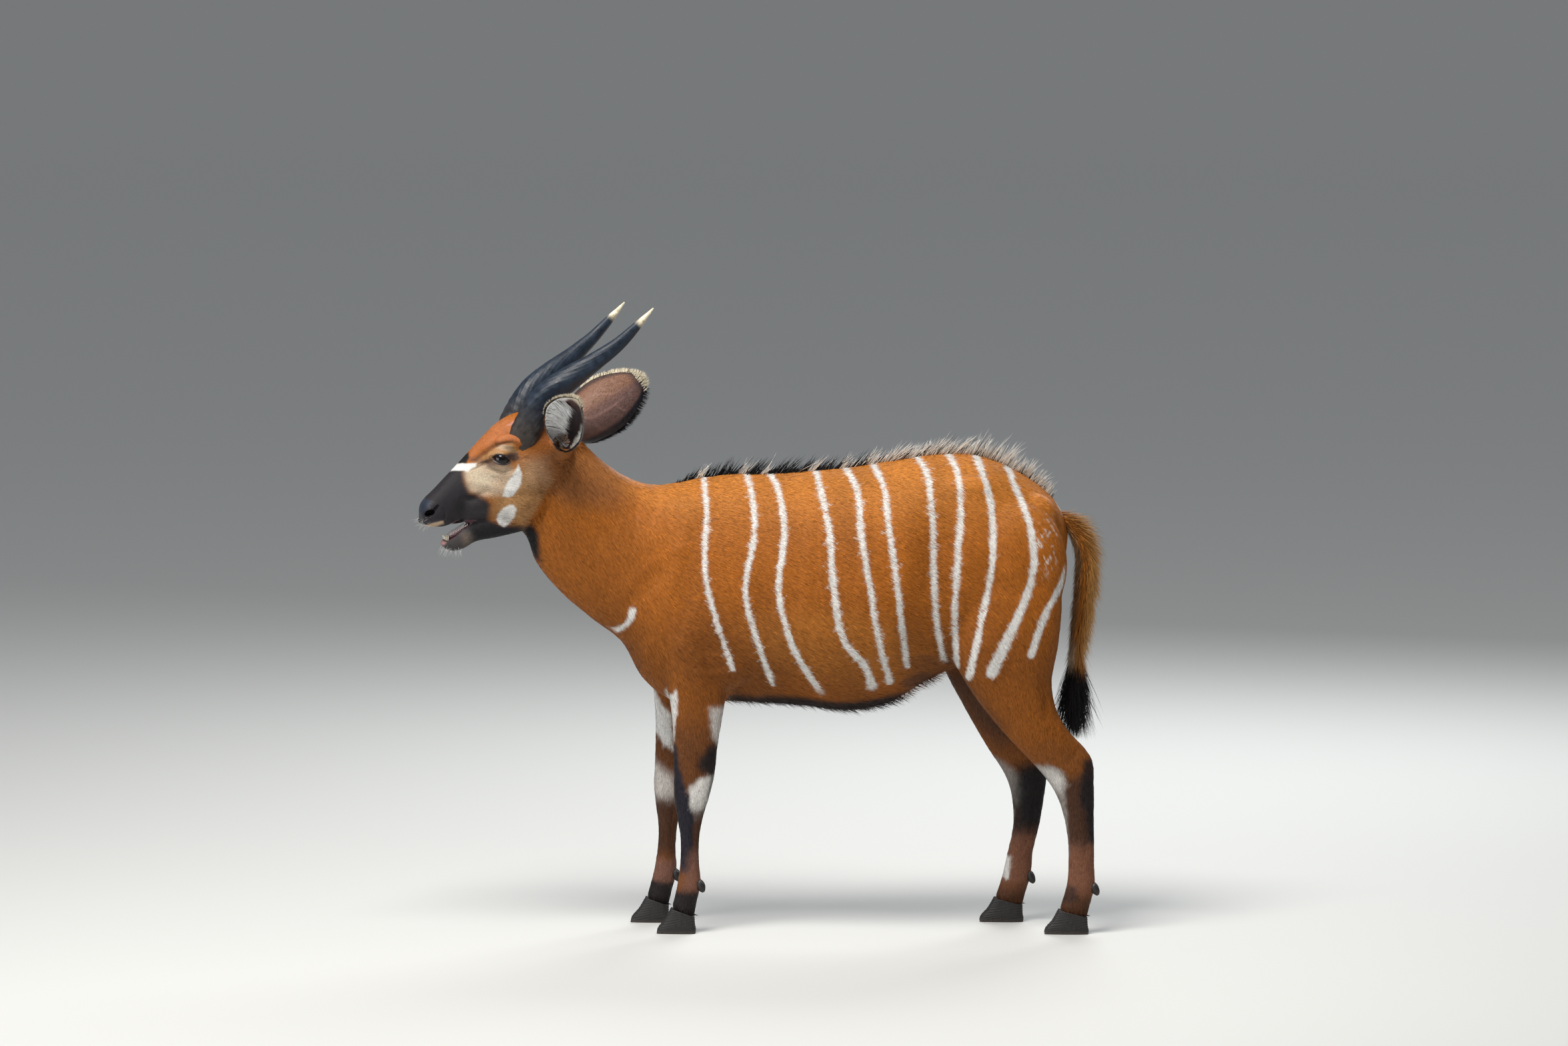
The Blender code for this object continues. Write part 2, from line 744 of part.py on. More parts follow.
def crest_locks():
    """Upright locks along the back, raked towards the tail, each overlapping the next."""
    draw = random.Random(3)
    locks = []
    x = CREST[0][0]
    while x < CREST[-1][0]:
        rise = float(np.interp(x, *zip(*CREST))) * draw.uniform(0.85, 1.08)
        rake = math.radians(float(np.interp(x, *zip(*CREST_RAKE))) + draw.uniform(-5, 5))
        slope = math.atan2(back_height(x + 15) - back_height(x - 15), 30.0)
        aside = (draw.uniform(-0.5, 0.5) + (0.9 if len(locks) % 2 else -0.9)) * 0.12
        lie = Vector((math.sin(rake - slope), aside, math.cos(rake - slope)))
        length = (rise / math.cos(rake) + CREST_ROOT) * MM
        root = Vector((x * MM, 0.003 * (1 if len(locks) % 2 else -1), back_height(x) * MM))
        root -= lie.normalized() * CREST_ROOT * MM
        width, thickness = (w * MM for w in CREST_LOCK)
        locks.append(lock_form(root, lie, (0.0, 1.0, 0.0), length, width, thickness))
        x += CREST_STEP
    return locks


def teeth():
    """The eight lower front teeth, small blades spread in an arc along the front of the jaw."""
    radius, spread = TOOTH_ARC
    blades = []
    for i in range(TOOTH_COUNT):
        angle = spread * (i / (TOOTH_COUNT - 1) - 0.5)
        centre = TOOTH_CENTRE + radius * Vector((-math.cos(angle), math.sin(angle), 0.0))
        turn = Matrix.Rotation(-angle, 4, "Z") @ Matrix.Rotation(TOOTH_SLANT, 4, "Y")
        blades.append(on_head(ball("tooth", centre, TOOTH_SIZE, turn, segments=8)))
    return blades


def claw_form(pair, side, out):
    """Half a hoof, from the coronet down to a flat sole, set beside its twin."""
    (fx, fz), (rx, rz) = CORONET[pair]
    drop = Vector((fx - rx, fz - rz)).orthogonal().normalized() * (GAP / MM)
    if drop.y > 0:
        drop.negate()
    top = (fx + drop.x, fz + drop.y, rx + drop.x, rz + drop.y, 10.8)
    middle = (fx - 15, fz * 0.52, rx + 1, rz * 0.5, 11.6)
    bottom = (fx - 32, 7, rx + 3, 5, 11.4)
    sole = (fx - 33, 0, rx + 2, 0, 10.6)
    rows = leg_rows([top, middle, bottom, sole], pair, side)
    centre = [side * LEG_SIDE[pair] + out * CLAW_OUT] * len(rows)
    return loft("claw", rows, 6, 12, roundness=2.5, low=0.3, middle=centre)


def dewclaw_form(pair, side, out):
    """A small blunt claw behind the fetlock."""
    rear, height = leg_rows(FORELEG if pair == "fore" else HINDLEG, pair, side)[-4][2:4]
    centre = Vector((rear - 1, side * LEG_SIDE[pair] + out * 13, height - 4)) * MM
    turn = Matrix.Rotation(math.radians(-24), 4, "Y")
    return ball("dewclaw", centre, tuple(r * MM for r in DEWCLAW), turn, segments=8)


def body_nodes():
    """The skin, parted by thin cuts into head, jaw, neck, torso and legs."""
    body = skinned(joined("body", trunk_forms() + head_forms()), BODY_VOXEL, 8, BODY_FACES)
    nape = loft("nape", TRUNK[:7], 60, 56, 2.15, 0.1, TRUNK_MIDDLE[:7])
    head = skinned(joined("head", head_forms() + [nape]), HEAD_VOXEL, 8, HEAD_FACES)
    kept_beyond(head, NECK_HEAD_CUT, ahead=True)
    kept_beyond(body, NECK_HEAD_CUT, ahead=False)
    neck = kept_beyond(copied(body, "neck"), NECK_TORSO_CUT, ahead=True)
    kept_beyond(body, NECK_TORSO_CUT, ahead=False)
    nodes = {"neck": neck}
    for height, front, rear in LEG_CUT.values():
        combined(body, slab((front, height), (rear, height), 500), "DIFFERENCE", keep_all=True)
    for piece in separated(body, 5):
        corners = np.array([vert.co[:] for vert in piece.data.vertices])
        if corners[:, 2].max() > 0.8:
            nodes["torso"] = piece
            continue
        middle = corners.mean(axis=0)
        side = "left" if middle[1] < 0 else "right"
        pair = "fore" if middle[0] < 0.2 else "hind"
        nodes[f"{side}_{pair}leg"] = piece
    combined(head, on_head(slab(*JAW_CUT, 300)), "DIFFERENCE", keep_all=True)
    nodes["jaw"], nodes["head"] = separated(head, 2)
    for side in (-1, 1):
        combined(nodes["head"], lid_cutter(side), "DIFFERENCE")
        turn = Matrix.Rotation(NOSTRIL_SLANT, 4, "Y")
        hollow = ball("nostril", NOSTRIL, NOSTRIL_SIZE, turn, segments=12)
        combined(nodes["head"], on_head(hollow, side), "DIFFERENCE")
    return nodes


def named(thing, name, finish, parts):
    """Names a finished node, gives it its material and puts it in the parts collection."""
    thing.name = name
    thing.data.name = name
    thing.data.materials.clear()
    thing.data.materials.append(finish)
    thing.data.shade_smooth()
    thing.data.set_sharp_from_angle(angle=math.radians(50))
    for home in list(thing.users_collection):
        home.objects.unlink(thing)
    parts.objects.link(thing)
    return thing


def centred(parts):
    """Moves the whole animal so that its box is centred over the origin."""
    corners = np.vstack([[vert.co[:] for vert in part.data.vertices] for part in parts.objects])
    middle = (corners.min(axis=0) + corners.max(axis=0)) / 2
    for part in parts.objects:
        part.data.transform(Matrix.Translation((-middle[0], -middle[1], 0.0)))


def main():
    for thing in list(bpy.data.objects):
        bpy.data.objects.remove(thing)
    parts = bpy.data.collections.new("bongo_antelope")
    bpy.context.scene.collection.children.link(parts)
    nodes = body_nodes()
    fused(nodes["torso"], crest_locks())
    nodes["tail"] = trimmed(tail_form(), nodes["torso"])
    fused(nodes["jaw"], teeth())
    for side, name in ((-1, "left"), (1, "right")):
        ear = trimmed(ear_form(name), nodes["head"])
        nodes[f"{name}_ear"] = trimmed(ear, nodes["neck"])
        nodes[f"{name}_horn"] = trimmed(horn_form(side), nodes["head"])
        eye = ball("eye", EYE_CENTRE, (EYE_RADIUS, EYE_RADIUS, EYE_RADIUS), segments=18)
        nodes[f"{name}_eye"] = on_head(eye, side)
        for pair in ("fore", "hind"):
            leg = f"{name}_{pair}leg"
            line = leg_rows([(*CORONET[pair][0], *CORONET[pair][1], 0)], pair, side)[0]
            nodes[leg] = kept_above(nodes[leg], (line[:2], line[2:4]))
            for out, place in ((-1, "left"), (1, "right")):
                nodes[f"{name}_{pair}_{place}_claw"] = claw_form(pair, side, out)
                dewclaw = dewclaw_form(pair, side, out)
                nodes[f"{name}_{pair}_{place}_dewclaw"] = trimmed(dewclaw, nodes[leg])
    for name, thing in nodes.items():
        colour, roughness = FINISHES[name.rsplit("_", 1)[-1]]
        named(thing, name, material(name, colour, roughness), parts)
    centred(parts)


main()
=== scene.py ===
"""The looks of a life-size bongo antelope: its skin, coat, crest, ears, horns, eyes and hooves.

The animal faces -X and its left flank faces -Y. Rows of the shape tables are in millimetres, as
measured along the animal seen from its left side, and the rest is in metres unless it says so.
"""

import math

import bpy
import numpy as np
from mathutils.bvhtree import BVHTree
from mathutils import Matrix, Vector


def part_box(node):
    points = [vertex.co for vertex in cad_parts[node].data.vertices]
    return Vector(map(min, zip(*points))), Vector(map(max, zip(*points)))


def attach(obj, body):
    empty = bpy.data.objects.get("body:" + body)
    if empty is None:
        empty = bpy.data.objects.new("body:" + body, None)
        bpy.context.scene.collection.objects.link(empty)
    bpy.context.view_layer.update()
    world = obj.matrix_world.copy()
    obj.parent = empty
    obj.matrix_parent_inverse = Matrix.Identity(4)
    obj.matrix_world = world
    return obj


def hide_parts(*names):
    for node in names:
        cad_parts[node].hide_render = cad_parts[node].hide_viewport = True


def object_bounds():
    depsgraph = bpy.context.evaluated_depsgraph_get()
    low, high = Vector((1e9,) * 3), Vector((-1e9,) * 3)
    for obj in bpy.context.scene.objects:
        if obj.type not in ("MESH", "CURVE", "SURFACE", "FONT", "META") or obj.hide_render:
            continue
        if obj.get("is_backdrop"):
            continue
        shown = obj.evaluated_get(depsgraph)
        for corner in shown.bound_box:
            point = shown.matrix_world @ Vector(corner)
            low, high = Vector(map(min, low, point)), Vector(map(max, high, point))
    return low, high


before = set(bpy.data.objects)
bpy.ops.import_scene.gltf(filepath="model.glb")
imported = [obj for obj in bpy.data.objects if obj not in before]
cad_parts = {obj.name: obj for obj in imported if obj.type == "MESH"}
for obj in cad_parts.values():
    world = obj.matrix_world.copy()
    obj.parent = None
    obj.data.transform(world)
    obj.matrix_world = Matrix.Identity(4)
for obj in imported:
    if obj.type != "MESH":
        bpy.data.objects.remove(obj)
cad_low, cad_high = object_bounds()

# The skin is one closed hide over the trunk, neck, head and legs. It is melted together from
# lofts and bulges of the real muscles and bones, a coat's depth inside the solids, then creased.
MM = 0.001
# Rows of a body part: x and z of its upper or front edge, x and z of its other edge, half width
TRUNK = [
    (-440, 1170, -580, 950, 52), (-417, 1152, -549, 930, 60), (-360, 1099, -519, 860, 69),
    (-298, 1057, -463, 789, 82), (-236, 1040, -386, 722, 100), (-181, 1047, -321, 671, 122),
    (-127, 1058, -271, 584, 142), (-65, 1065, -205, 533, 156), (5, 1065, -57, 530, 168),
    (98, 1070, 90, 522, 186), (214, 1081, 206, 510, 200), (322, 1098, 307, 529, 197),
    (415, 1111, 392, 578, 180), (508, 1109, 470, 612, 172), (601, 1072, 547, 612, 160),
    (668, 1026, 612, 636, 138), (706, 978, 668, 705, 104), (722, 922, 706, 798, 58),
]
TRUNK_MIDDLE = [-46, -45, -38, -26, -13, -4] + [0] * 12
FORELEG = [
    (-228, 900, -75, 925, 40), (-246, 760, -60, 780, 58), (-232, 660, -58, 668, 60),
    (-213, 575, -68, 578, 53), (-203, 500, -80, 502, 43), (-199, 430, -92, 430, 37),
    (-198, 370, -99, 370, 35), (-197, 318, -112, 318, 34), (-190, 272, -127, 272, 29),
    (-182, 222, -136, 222, 23), (-183, 163, -136, 163, 22), (-189, 116, -132, 114, 26),
    (-196, 84, -141, 74, 25), (-203, 58, -148, 40, 27),
]
HINDLEG = [
    (485, 900, 690, 910, 50), (439, 760, 706, 775, 74), (442, 660, 697, 668, 74),
    (478, 585, 683, 588, 64), (526, 515, 695, 520, 52), (580, 452, 726, 470, 42),
    (630, 400, 760, 434, 35), (664, 362, 778, 404, 33), (690, 322, 780, 350, 32),
    (706, 278, 780, 290, 29), (716, 225, 780, 230, 25), (718, 158, 781, 156, 23),
    (714, 112, 783, 108, 27), (705, 80, 773, 72, 26), (697, 56, 764, 40, 28),
]
# The leg's end at the hoof, how far each pair stands from the middle, and how much further ahead
# than the left leg the right one is at each height
CORONET = {"fore": ((-203, 58), (-148, 40)), "hind": ((697, 56), (764, 40))}
LEG_SIDE = {"fore": 94, "hind": 102}
LEAN = {
    "fore": ((0, -64), (300, -50), (560, -40), (900, 0)),
    "hind": ((0, -146), (110, -143), (160, -137), (225, -121), (290, -110), (390, -95), (440, -77),
             (500, -56), (600, -40), (900, 0)),
}
# Muscles: place, half-sizes and tilt in degrees
MUSCLES = [
    (-98, 96, 800, 78, 60, 150, 18), (-75, 112, 660, 95, 44, 90, 0), (588, 104, 850, 130, 68, 160, 8),
    (478, 92, 1028, 78, 38, 44, 0), (645, 66, 960, 52, 44, 64, 0),
]
NECK_CUT = ((-417, 1152), (-549, 930))
TRUNK_SHAPE = (2.15, 0.1)
NAPE_ROWS = 7

HEAD_PIVOT = np.array((-0.445, -0.045, 1.100))
HEAD_TURN = math.radians(20)
UPPER_HEAD = [
    (-801, 996, -800, 974, 14), (-797, 1011, -795, 957, 25), (-788, 1022, -784, 954, 30),
    (-770, 1038, -763, 953, 33), (-738, 1070, -725, 957, 33), (-701, 1106, -678, 960, 38),
    (-672, 1135, -636, 962, 47), (-643, 1163, -594, 968, 58), (-606, 1194, -548, 985, 66),
    (-560, 1213, -505, 1000, 64), (-500, 1204, -470, 1008, 58), (-450, 1172, -440, 1025, 50),
    (-410, 1135, -415, 1045, 44),
]
JAW = [
    (-752, 917, -750, 909, 8), (-744, 925, -739, 900, 15), (-731, 934, -722, 895, 18),
    (-712, 947, -698, 899, 20), (-690, 959, -669, 914, 23), (-651, 977, -623, 921, 32),
    (-602, 1000, -577, 929, 41), (-552, 1020, -545, 937, 45), (-508, 1038, -514, 951, 40),
]
# Cheek, socket, brow, roots of horn and ear, nose and lip of the level head: place and half-sizes
FACE_FORMS = [
    (-566, 36, 1015, 66, 26, 56), (-618, 45, 1111, 38, 21, 30), (-588, 44, 1146, 46, 22, 22),
    (-556, 38, 1164, 34, 18, 16), (-474, 48, 1132, 34, 27, 36), (-784, 0, 990, 18, 32, 27),
    (-764, 19, 967, 38, 14, 14),
]
EYE_CENTRE = np.array((-0.620, 0.0485, 1.110))
EYE_RADIUS = 0.0215
EYE_FORWARD = math.radians(14)
EYE_PLAY = 0.0002
SOCKET_REACH = (0.25, 1.0, 1.7)
LID = 0.0036
LID_OPENING = (math.radians(60), math.radians(29))
LID_SLOPE = 0.24

# Sizes of the melt's grid, rounds of smoothing, and the share of the trunk's triangles kept
BODY_VOXEL, BODY_PASSES = 0.006, 13
HEAD_VOXEL, HEAD_PASSES = 0.0025, 12
BODY_SHARE = 0.50
BODY_GRAIN = 0.00014
SEAM = 0.008
SEAM_INSET = 0.0005
BLOCK_HALF, BLOCK_DEPTH = 2.0, 3.0


def unit(rows):
    """Rows of vectors made one long."""
    return rows / np.maximum(np.linalg.norm(rows, axis=-1, keepdims=True), 1e-12)


def curve_through(rows, count):
    """A cubic through the rows of a table, each with the slope of its neighbours, read at evenly
    spaced places along it."""
    rows = np.asarray(rows, float)
    run = np.linalg.norm(np.diff(rows, axis=0), axis=1)
    at = np.concatenate([[0.0], np.cumsum(run)])
    slope = np.diff(rows, axis=0) / run[:, None]
    share = (run[1:] / (run[1:] + run[:-1]))[:, None]
    tangent = np.vstack([slope[:1], slope[:-1] * share + slope[1:] * (1 - share), slope[-1:]])
    read = np.linspace(0.0, at[-1], count)
    k = np.clip(np.searchsorted(at, read, side="right") - 1, 0, len(run) - 1)
    t = ((read - at[k]) / run[k])[:, None]
    h = run[k][:, None]
    return (
        rows[k] * (1 + 2 * t) * (1 - t) ** 2
        + tangent[k] * h * t * (1 - t) ** 2
        + rows[k + 1] * t**2 * (3 - 2 * t)
        + tangent[k + 1] * h * t**2 * (t - 1)
    )


def grid_faces(rows, columns):
    """Two triangles for each cell of a grid of points that is wrapped round in its columns."""
    here = np.arange(rows * columns).reshape(rows, columns)
    ahead = np.roll(here, -1, axis=1)
    a, b, c, d = here[:-1], ahead[:-1], ahead[1:], here[1:]
    halves = [np.stack(corners, axis=-1).reshape(-1, 3) for corners in ((a, b, c), (a, c, d))]
    return np.concatenate(halves)


def outward(points, faces):
    """Turns a closed surface's faces outwards, by the sign of the volume that they enclose."""
    a, b, c = (points[faces[:, i]] for i in range(3))
    return faces if np.einsum("ij,ij->", a, np.cross(b, c)) > 0 else faces[:, ::-1]


def tube(grid):
    """A closed surface through rings of points, with a fan to the middle of each end ring."""
    rings, sides = grid.shape[:2]
    points = np.vstack([grid.reshape(-1, 3), grid[:1].mean(axis=1), grid[-1:].mean(axis=1)])
    near = np.arange(sides)
    far = np.roll(near, -1)
    first, last = np.full(sides, rings * sides), np.full(sides, rings * sides + 1)
    top = (rings - 1) * sides
    ends = [np.stack([first, far, near], 1), np.stack([last, top + near, top + far], 1)]
    faces = np.vstack([grid_faces(rings, sides), *ends])
    return points, outward(points, faces)


def loft(rows, rings, sides, roundness, low=0.0, middle=None):
    """A closed body along a shape table. Each ring is a superellipse between its two edges, wider
    in its lower or rear half by low."""
    table = np.asarray(rows, float)
    centre = np.zeros(len(table)) if middle is None else np.asarray(middle, float)
    table = curve_through(np.column_stack([table, centre]), rings) * MM
    angle = np.linspace(0.0, 2 * np.pi, sides, endpoint=False)
    up = np.sign(np.cos(angle)) * np.abs(np.cos(angle)) ** (2 / roundness)
    out = np.sign(np.sin(angle)) * np.abs(np.sin(angle)) ** (2 / roundness)
    ax, az, bx, bz, half, mid = (table[:, i : i + 1] for i in range(6))
    x = (ax + bx) / 2 + (ax - bx) / 2 * up
    z = (az + bz) / 2 + (az - bz) / 2 * up
    return tube(np.stack([x, mid + half * out * (1 - low * up), z], axis=2))


def ball(centre, radii, tilt=0.0, rings=24, sides=36):
    """A closed ellipsoid: latitude down its z axis and longitude round it, tilted about y."""
    down = np.linspace(0.02, math.pi - 0.02, rings)[:, None]
    angle = np.linspace(0.0, 2 * np.pi, sides, endpoint=False)[None, :]
    x, y = radii[0] * np.sin(down) * np.cos(angle), radii[1] * np.sin(down) * np.sin(angle)
    z = radii[2] * np.cos(down) * np.ones_like(angle)
    c, s = math.cos(tilt), math.sin(tilt)
    return tube(np.stack([x * c + z * s, y, z * c - x * s], axis=2) + np.asarray(centre))


def on_head(points, side=1):
    """Level head to its place: mirrored for a side, turned to the left about the nape."""
    c, s = math.cos(HEAD_TURN), math.sin(HEAD_TURN)
    x = points[..., 0] - HEAD_PIVOT[0]
    y = points[..., 1] * side
    turned = [x * c - y * s + HEAD_PIVOT[0], x * s + y * c + HEAD_PIVOT[1], points[..., 2]]
    return np.stack(turned, axis=-1)


def levelled(points):
    """The reverse of on_head: from the head's place back to the level head."""
    c, s = math.cos(HEAD_TURN), math.sin(HEAD_TURN)
    x, y = points[..., 0] - HEAD_PIVOT[0], points[..., 1] - HEAD_PIVOT[1]
    return np.stack([x * c + y * s + HEAD_PIVOT[0], y * c - x * s, points[..., 2]], axis=-1)


def headed(form, side=1):
    """A closed form of the level head, put in place."""
    points, faces = form
    points = on_head(points, side)
    return points, outward(points, faces)


def leg_rows(rows, pair, side):
    """A leg's rows, moved ahead for the right-hand one by its lean at each height."""
    rows = np.array(rows, float)
    if side > 0:
        heights, moves = zip(*LEAN[pair])
        rows[:, 0] += np.interp(rows[:, 1], heights, moves)
        rows[:, 2] += np.interp(rows[:, 3], heights, moves)
    return rows


def thing_of(name, points, faces):
    """A linked mesh object of these points and triangles."""
    mesh = bpy.data.meshes.new(name)
    faces = np.ascontiguousarray(faces, np.int32)
    mesh.vertices.add(len(points))
    mesh.vertices.foreach_set("co", np.asarray(points, np.float32).ravel())
    mesh.loops.add(faces.size)
    mesh.loops.foreach_set("vertex_index", faces.ravel())
    mesh.polygons.add(len(faces))
    mesh.polygons.foreach_set("loop_start", np.arange(0, faces.size, 3, dtype=np.int32))
    mesh.update(calc_edges=True)
    thing = bpy.data.objects.new(name, mesh)
    bpy.context.scene.collection.objects.link(thing)
    return thing


def worked(points, faces, *steps):
    """The points and triangles that a closed mesh has after some modifiers, each given as its
    type and its settings."""
    thing = thing_of("work", points, faces)
    for kind, settings in steps:
        change = thing.modifiers.new(kind.lower(), kind)
        for name, value in settings.items():
            setattr(change, name, value)
    done = thing.evaluated_get(bpy.context.evaluated_depsgraph_get()).to_mesh()
    done.calc_loop_triangles()
    new_points = np.empty(len(done.vertices) * 3, np.float32)
    new_faces = np.empty(len(done.loop_triangles) * 3, np.int32)
    done.vertices.foreach_get("co", new_points)
    done.loop_triangles.foreach_get("vertices", new_faces)
    bpy.data.objects.remove(thing)
    return new_points.reshape(-1, 3).astype(float), new_faces.reshape(-1, 3)


def cut(form, tool, operation="DIFFERENCE"):
    """One closed form cut by another, or joined to it."""
    other = thing_of("tool", *tool)
    settings = {"operation": operation, "solver": "MANIFOLD", "object": other}
    result = worked(*form, ("BOOLEAN", settings))
    bpy.data.objects.remove(other)
    return result


def gathered(forms):
    """Several closed forms as one mesh."""
    starts = np.cumsum([0] + [len(points) for points, _ in forms[:-1]])
    faces = [faces + start for (_, faces), start in zip(forms, starts)]
    return np.vstack([points for points, _ in forms]), np.vstack(faces)


def melted(forms, voxel, passes):
    """Overlapping forms made one skin on a grid of voxels, then smoothed this many times."""
    melt = {"mode": "VOXEL", "voxel_size": voxel}
    return worked(*gathered(forms), ("REMESH", melt), ("SMOOTH", {"iterations": passes}))


def normals_of(points, faces):
    """The unit normal at each point, from its faces weighted by their areas."""
    a, b, c = (points[faces[:, i]] for i in range(3))
    each = np.cross(b - a, c - a)
    count = len(points)
    total = [sum(np.bincount(faces[:, i], each[:, k], count) for i in range(3)) for k in range(3)]
    return unit(np.stack(total, axis=1))


def nose_way(line):
    """The way to the nose, square to a slanted plane that the side view shows as a line."""
    (ax, az), (bx, bz) = line
    normal = np.array((az - bz, 0.0, bx - ax), float)
    normal *= -1 if normal[0] > 0 else 1
    return normal / np.linalg.norm(normal)


def ahead_of(points, line):
    """How far points lie ahead of a slanted plane, towards the nose."""
    ax, az = line[0]
    return (points - np.array((ax * MM, 0.0, az * MM))) @ nose_way(line)


def kept_side(form, line, margin, ahead):
    """What a closed form has on one side of a slanted plane, cut off by a large block."""
    (ax, az), (bx, bz) = line
    normal = nose_way(line)
    along = np.array((normal[2], 0.0, -normal[0]))
    start = np.array(((ax + bx) / 2, 0.0, (az + bz) / 2)) * MM + normal * margin
    away = -normal if ahead else normal
    square = BLOCK_HALF * np.array(((-1, -1), (-1, 1), (1, 1), (1, -1)))
    corners = [
        [start + along * a + np.array((0, b, 0)) + away * reach for a, b in square]
        for reach in (0.0, BLOCK_DEPTH)
    ]
    return cut(form, tube(np.array(corners)))


def oval(row, tilt=0.0, side=1):
    """An ellipsoid from a table's row in millimetres: its place, mirrored for a side, and its
    half-sizes."""
    x, y, z, *radii = row
    return ball(np.array((x, side * y, z)) * MM, np.array(radii) * MM, math.radians(tilt))


def trunk_forms():
    """The trunk with the neck, its muscles, and the four legs."""
    forms = [loft(TRUNK, 160, 90, *TRUNK_SHAPE, TRUNK_MIDDLE)]
    for side in (-1, 1):
        forms += [oval(row, tilt, side) for *row, tilt in MUSCLES]
        for pair, rows in (("fore", FORELEG), ("hind", HINDLEG)):
            middle = [side * LEG_SIDE[pair]] * len(rows)
            forms.append(loft(leg_rows(rows, pair, side), 130, 40, 2.3, 0.0, middle))
    return forms


def head_forms():
    """The skull, muzzle and jaw with the cheeks, brows, lips and lids."""
    forms = [headed(loft(UPPER_HEAD, 110, 64, 2.4, 0.1)), headed(loft(JAW, 80, 48, 2.3))]
    for side in (-1, 1):
        forms += [headed(oval(row), side) for row in FACE_FORMS]
        forms.append(headed(ball(EYE_CENTRE, [EYE_RADIUS + LID] * 3), side))
    return forms


def side_view(points, on_skull):
    """What the left side shows: x, and the height as seen from a little above, in millimetres,
    for each point or its twin on the left side. On the head the twin is across its own middle."""
    level = levelled(points)
    level[:, 1] = -np.abs(level[:, 1])
    twin = on_head(level)
    middle = np.interp(points[:, 0] / MM, [r[0] for r in TRUNK], TRUNK_MIDDLE) * MM
    body_y = middle - np.abs(points[:, 1] - middle)
    x = np.where(on_skull, twin[:, 0], points[:, 0])
    y = np.where(on_skull, twin[:, 1], body_y)
    return np.stack([x, points[:, 2] + SIGHT_SLOPE * y], axis=1) / MM


def leg_side_view(points):
    """The same view with the right-hand legs moved back beside the left ones, and how far each
    point lies on the outer face of its leg, from -1, inside, to 1."""
    view = side_view(points, np.zeros(len(points), bool))
    hind = points[:, 0] > 0.2
    outer = np.zeros(len(points))
    for pair, here in (("fore", ~hind), ("hind", hind)):
        heights, moves = zip(*LEAN[pair])
        shift = np.interp(points[:, 2] / MM, heights, moves) * (points[:, 1] > 0)
        view[here, 0] -= shift[here]
        outer[here] = (np.abs(points[here, 1]) / MM - LEG_SIDE[pair]) / 24
    return view, np.clip(outer, -1, 1)


def patch(view, x, z, rx, rz, tilt, edge):
    """How far each point of a view lies in a tilted ellipse, from 1 inside to 0 outside, with an
    edge that is a share of its size."""
    c, s = math.cos(math.radians(tilt)), math.sin(math.radians(tilt))
    dx, dz = view[:, 0] - x, view[:, 1] - z
    reach = np.sqrt(((dx * c + dz * s) / rx) ** 2 + ((dz * c - dx * s) / rz) ** 2)
    return softened((1 + edge / 2 - reach) / edge)


def line_distance(view, line):
    """The distance of each point of a view from a line through a few points, and the share of
    the line's length at the nearest place."""
    line = curve_through(line, 4 * len(line))
    a, b = line[:-1], line[1:]
    run = b - a
    t = ((view[:, None] - a) * run).sum(axis=2) / (run**2).sum(axis=1)
    t = np.clip(t, 0, 1)
    off = np.linalg.norm(view[:, None] - a - t[:, :, None] * run, axis=2)
    nearest = off.argmin(axis=1)
    rows = np.arange(len(view))
    return off[rows, nearest], (nearest + t[rows, nearest]) / len(run)


def folded(view, folds):
    """The rise of the skin in millimetres from narrow folds: each a line, its half width and its
    rise, below zero for a crease, faded out at both ends."""
    rise = np.zeros(len(view))
    for line, width, height in folds:
        low, high = np.min(line, axis=0) - 4 * width, np.max(line, axis=0) + 4 * width
        near = ((view > low) & (view < high)).all(axis=1)
        off, along = line_distance(view[near], line)
        rise[near] += height * np.exp(-((off / width) ** 2)) * np.sin(np.pi * along) ** 0.5
    return rise


# The camera looks down a little: what a point's height in the picture gains with its place in y
SIGHT_SLOPE = 0.0958

# Broad hollows and swells of the body: place, half-sizes, tilt and rise in millimetres
BODY_SWELLS = [
    (-150, 860, 26, 150, -14, -5.0), (-40, 560, 36, 30, 30, -5.0), (12, 700, 24, 110, 6, -5.0),
    (-160, 640, 30, 60, 20, 3.0), (395, 760, 46, 150, -12, -7.0), (430, 930, 60, 60, 0, -6.0),
    (520, 640, 40, 70, -20, 4.0), (640, 800, 30, 120, 10, -4.0), (180, 800, 30, 180, -4, -1.6),
    (110, 800, 12, 170, -4, 1.4), (240, 800, 12, 170, -4, 1.4), (-300, 900, 70, 40, 40, 3.5),
    (-260, 800, 70, 20, 46, -4.0),
]
# Creases and cords of the body: a line seen from the side, half width and rise
BODY_FOLDS = [
    ([(-237, 1043), (-233, 1009), (-240, 976), (-265, 928)], 8, -1.0),
    ([(-280, 1009), (-286, 940), (-291, 876)], 6, -1.2),
    ([(322, 612), (368, 640), (408, 636), (452, 596)], 10, 4.5),
    ([(-250, 690), (-200, 640), (-120, 610), (-50, 622)], 11, -1.6),
    ([(0, 610), (60, 590), (140, 585)], 9, -2.0),
    ([(700, 470), (706, 540), (688, 620)], 8, 3.0),
    ([(664, 480), (668, 540), (650, 600)], 9, -4.0),
]
# Hollows of the nostrils on the level head: place, half-sizes and tilt in degrees
NOSTRIL_HOLLOWS = [
    (-786, 27, 987, 14, 10, 8.5, -24), (-772, 33, 998, 12, 9, 4.5, -52),
    (-776, 17, 990, 20, 8, 7.5, -20),
]
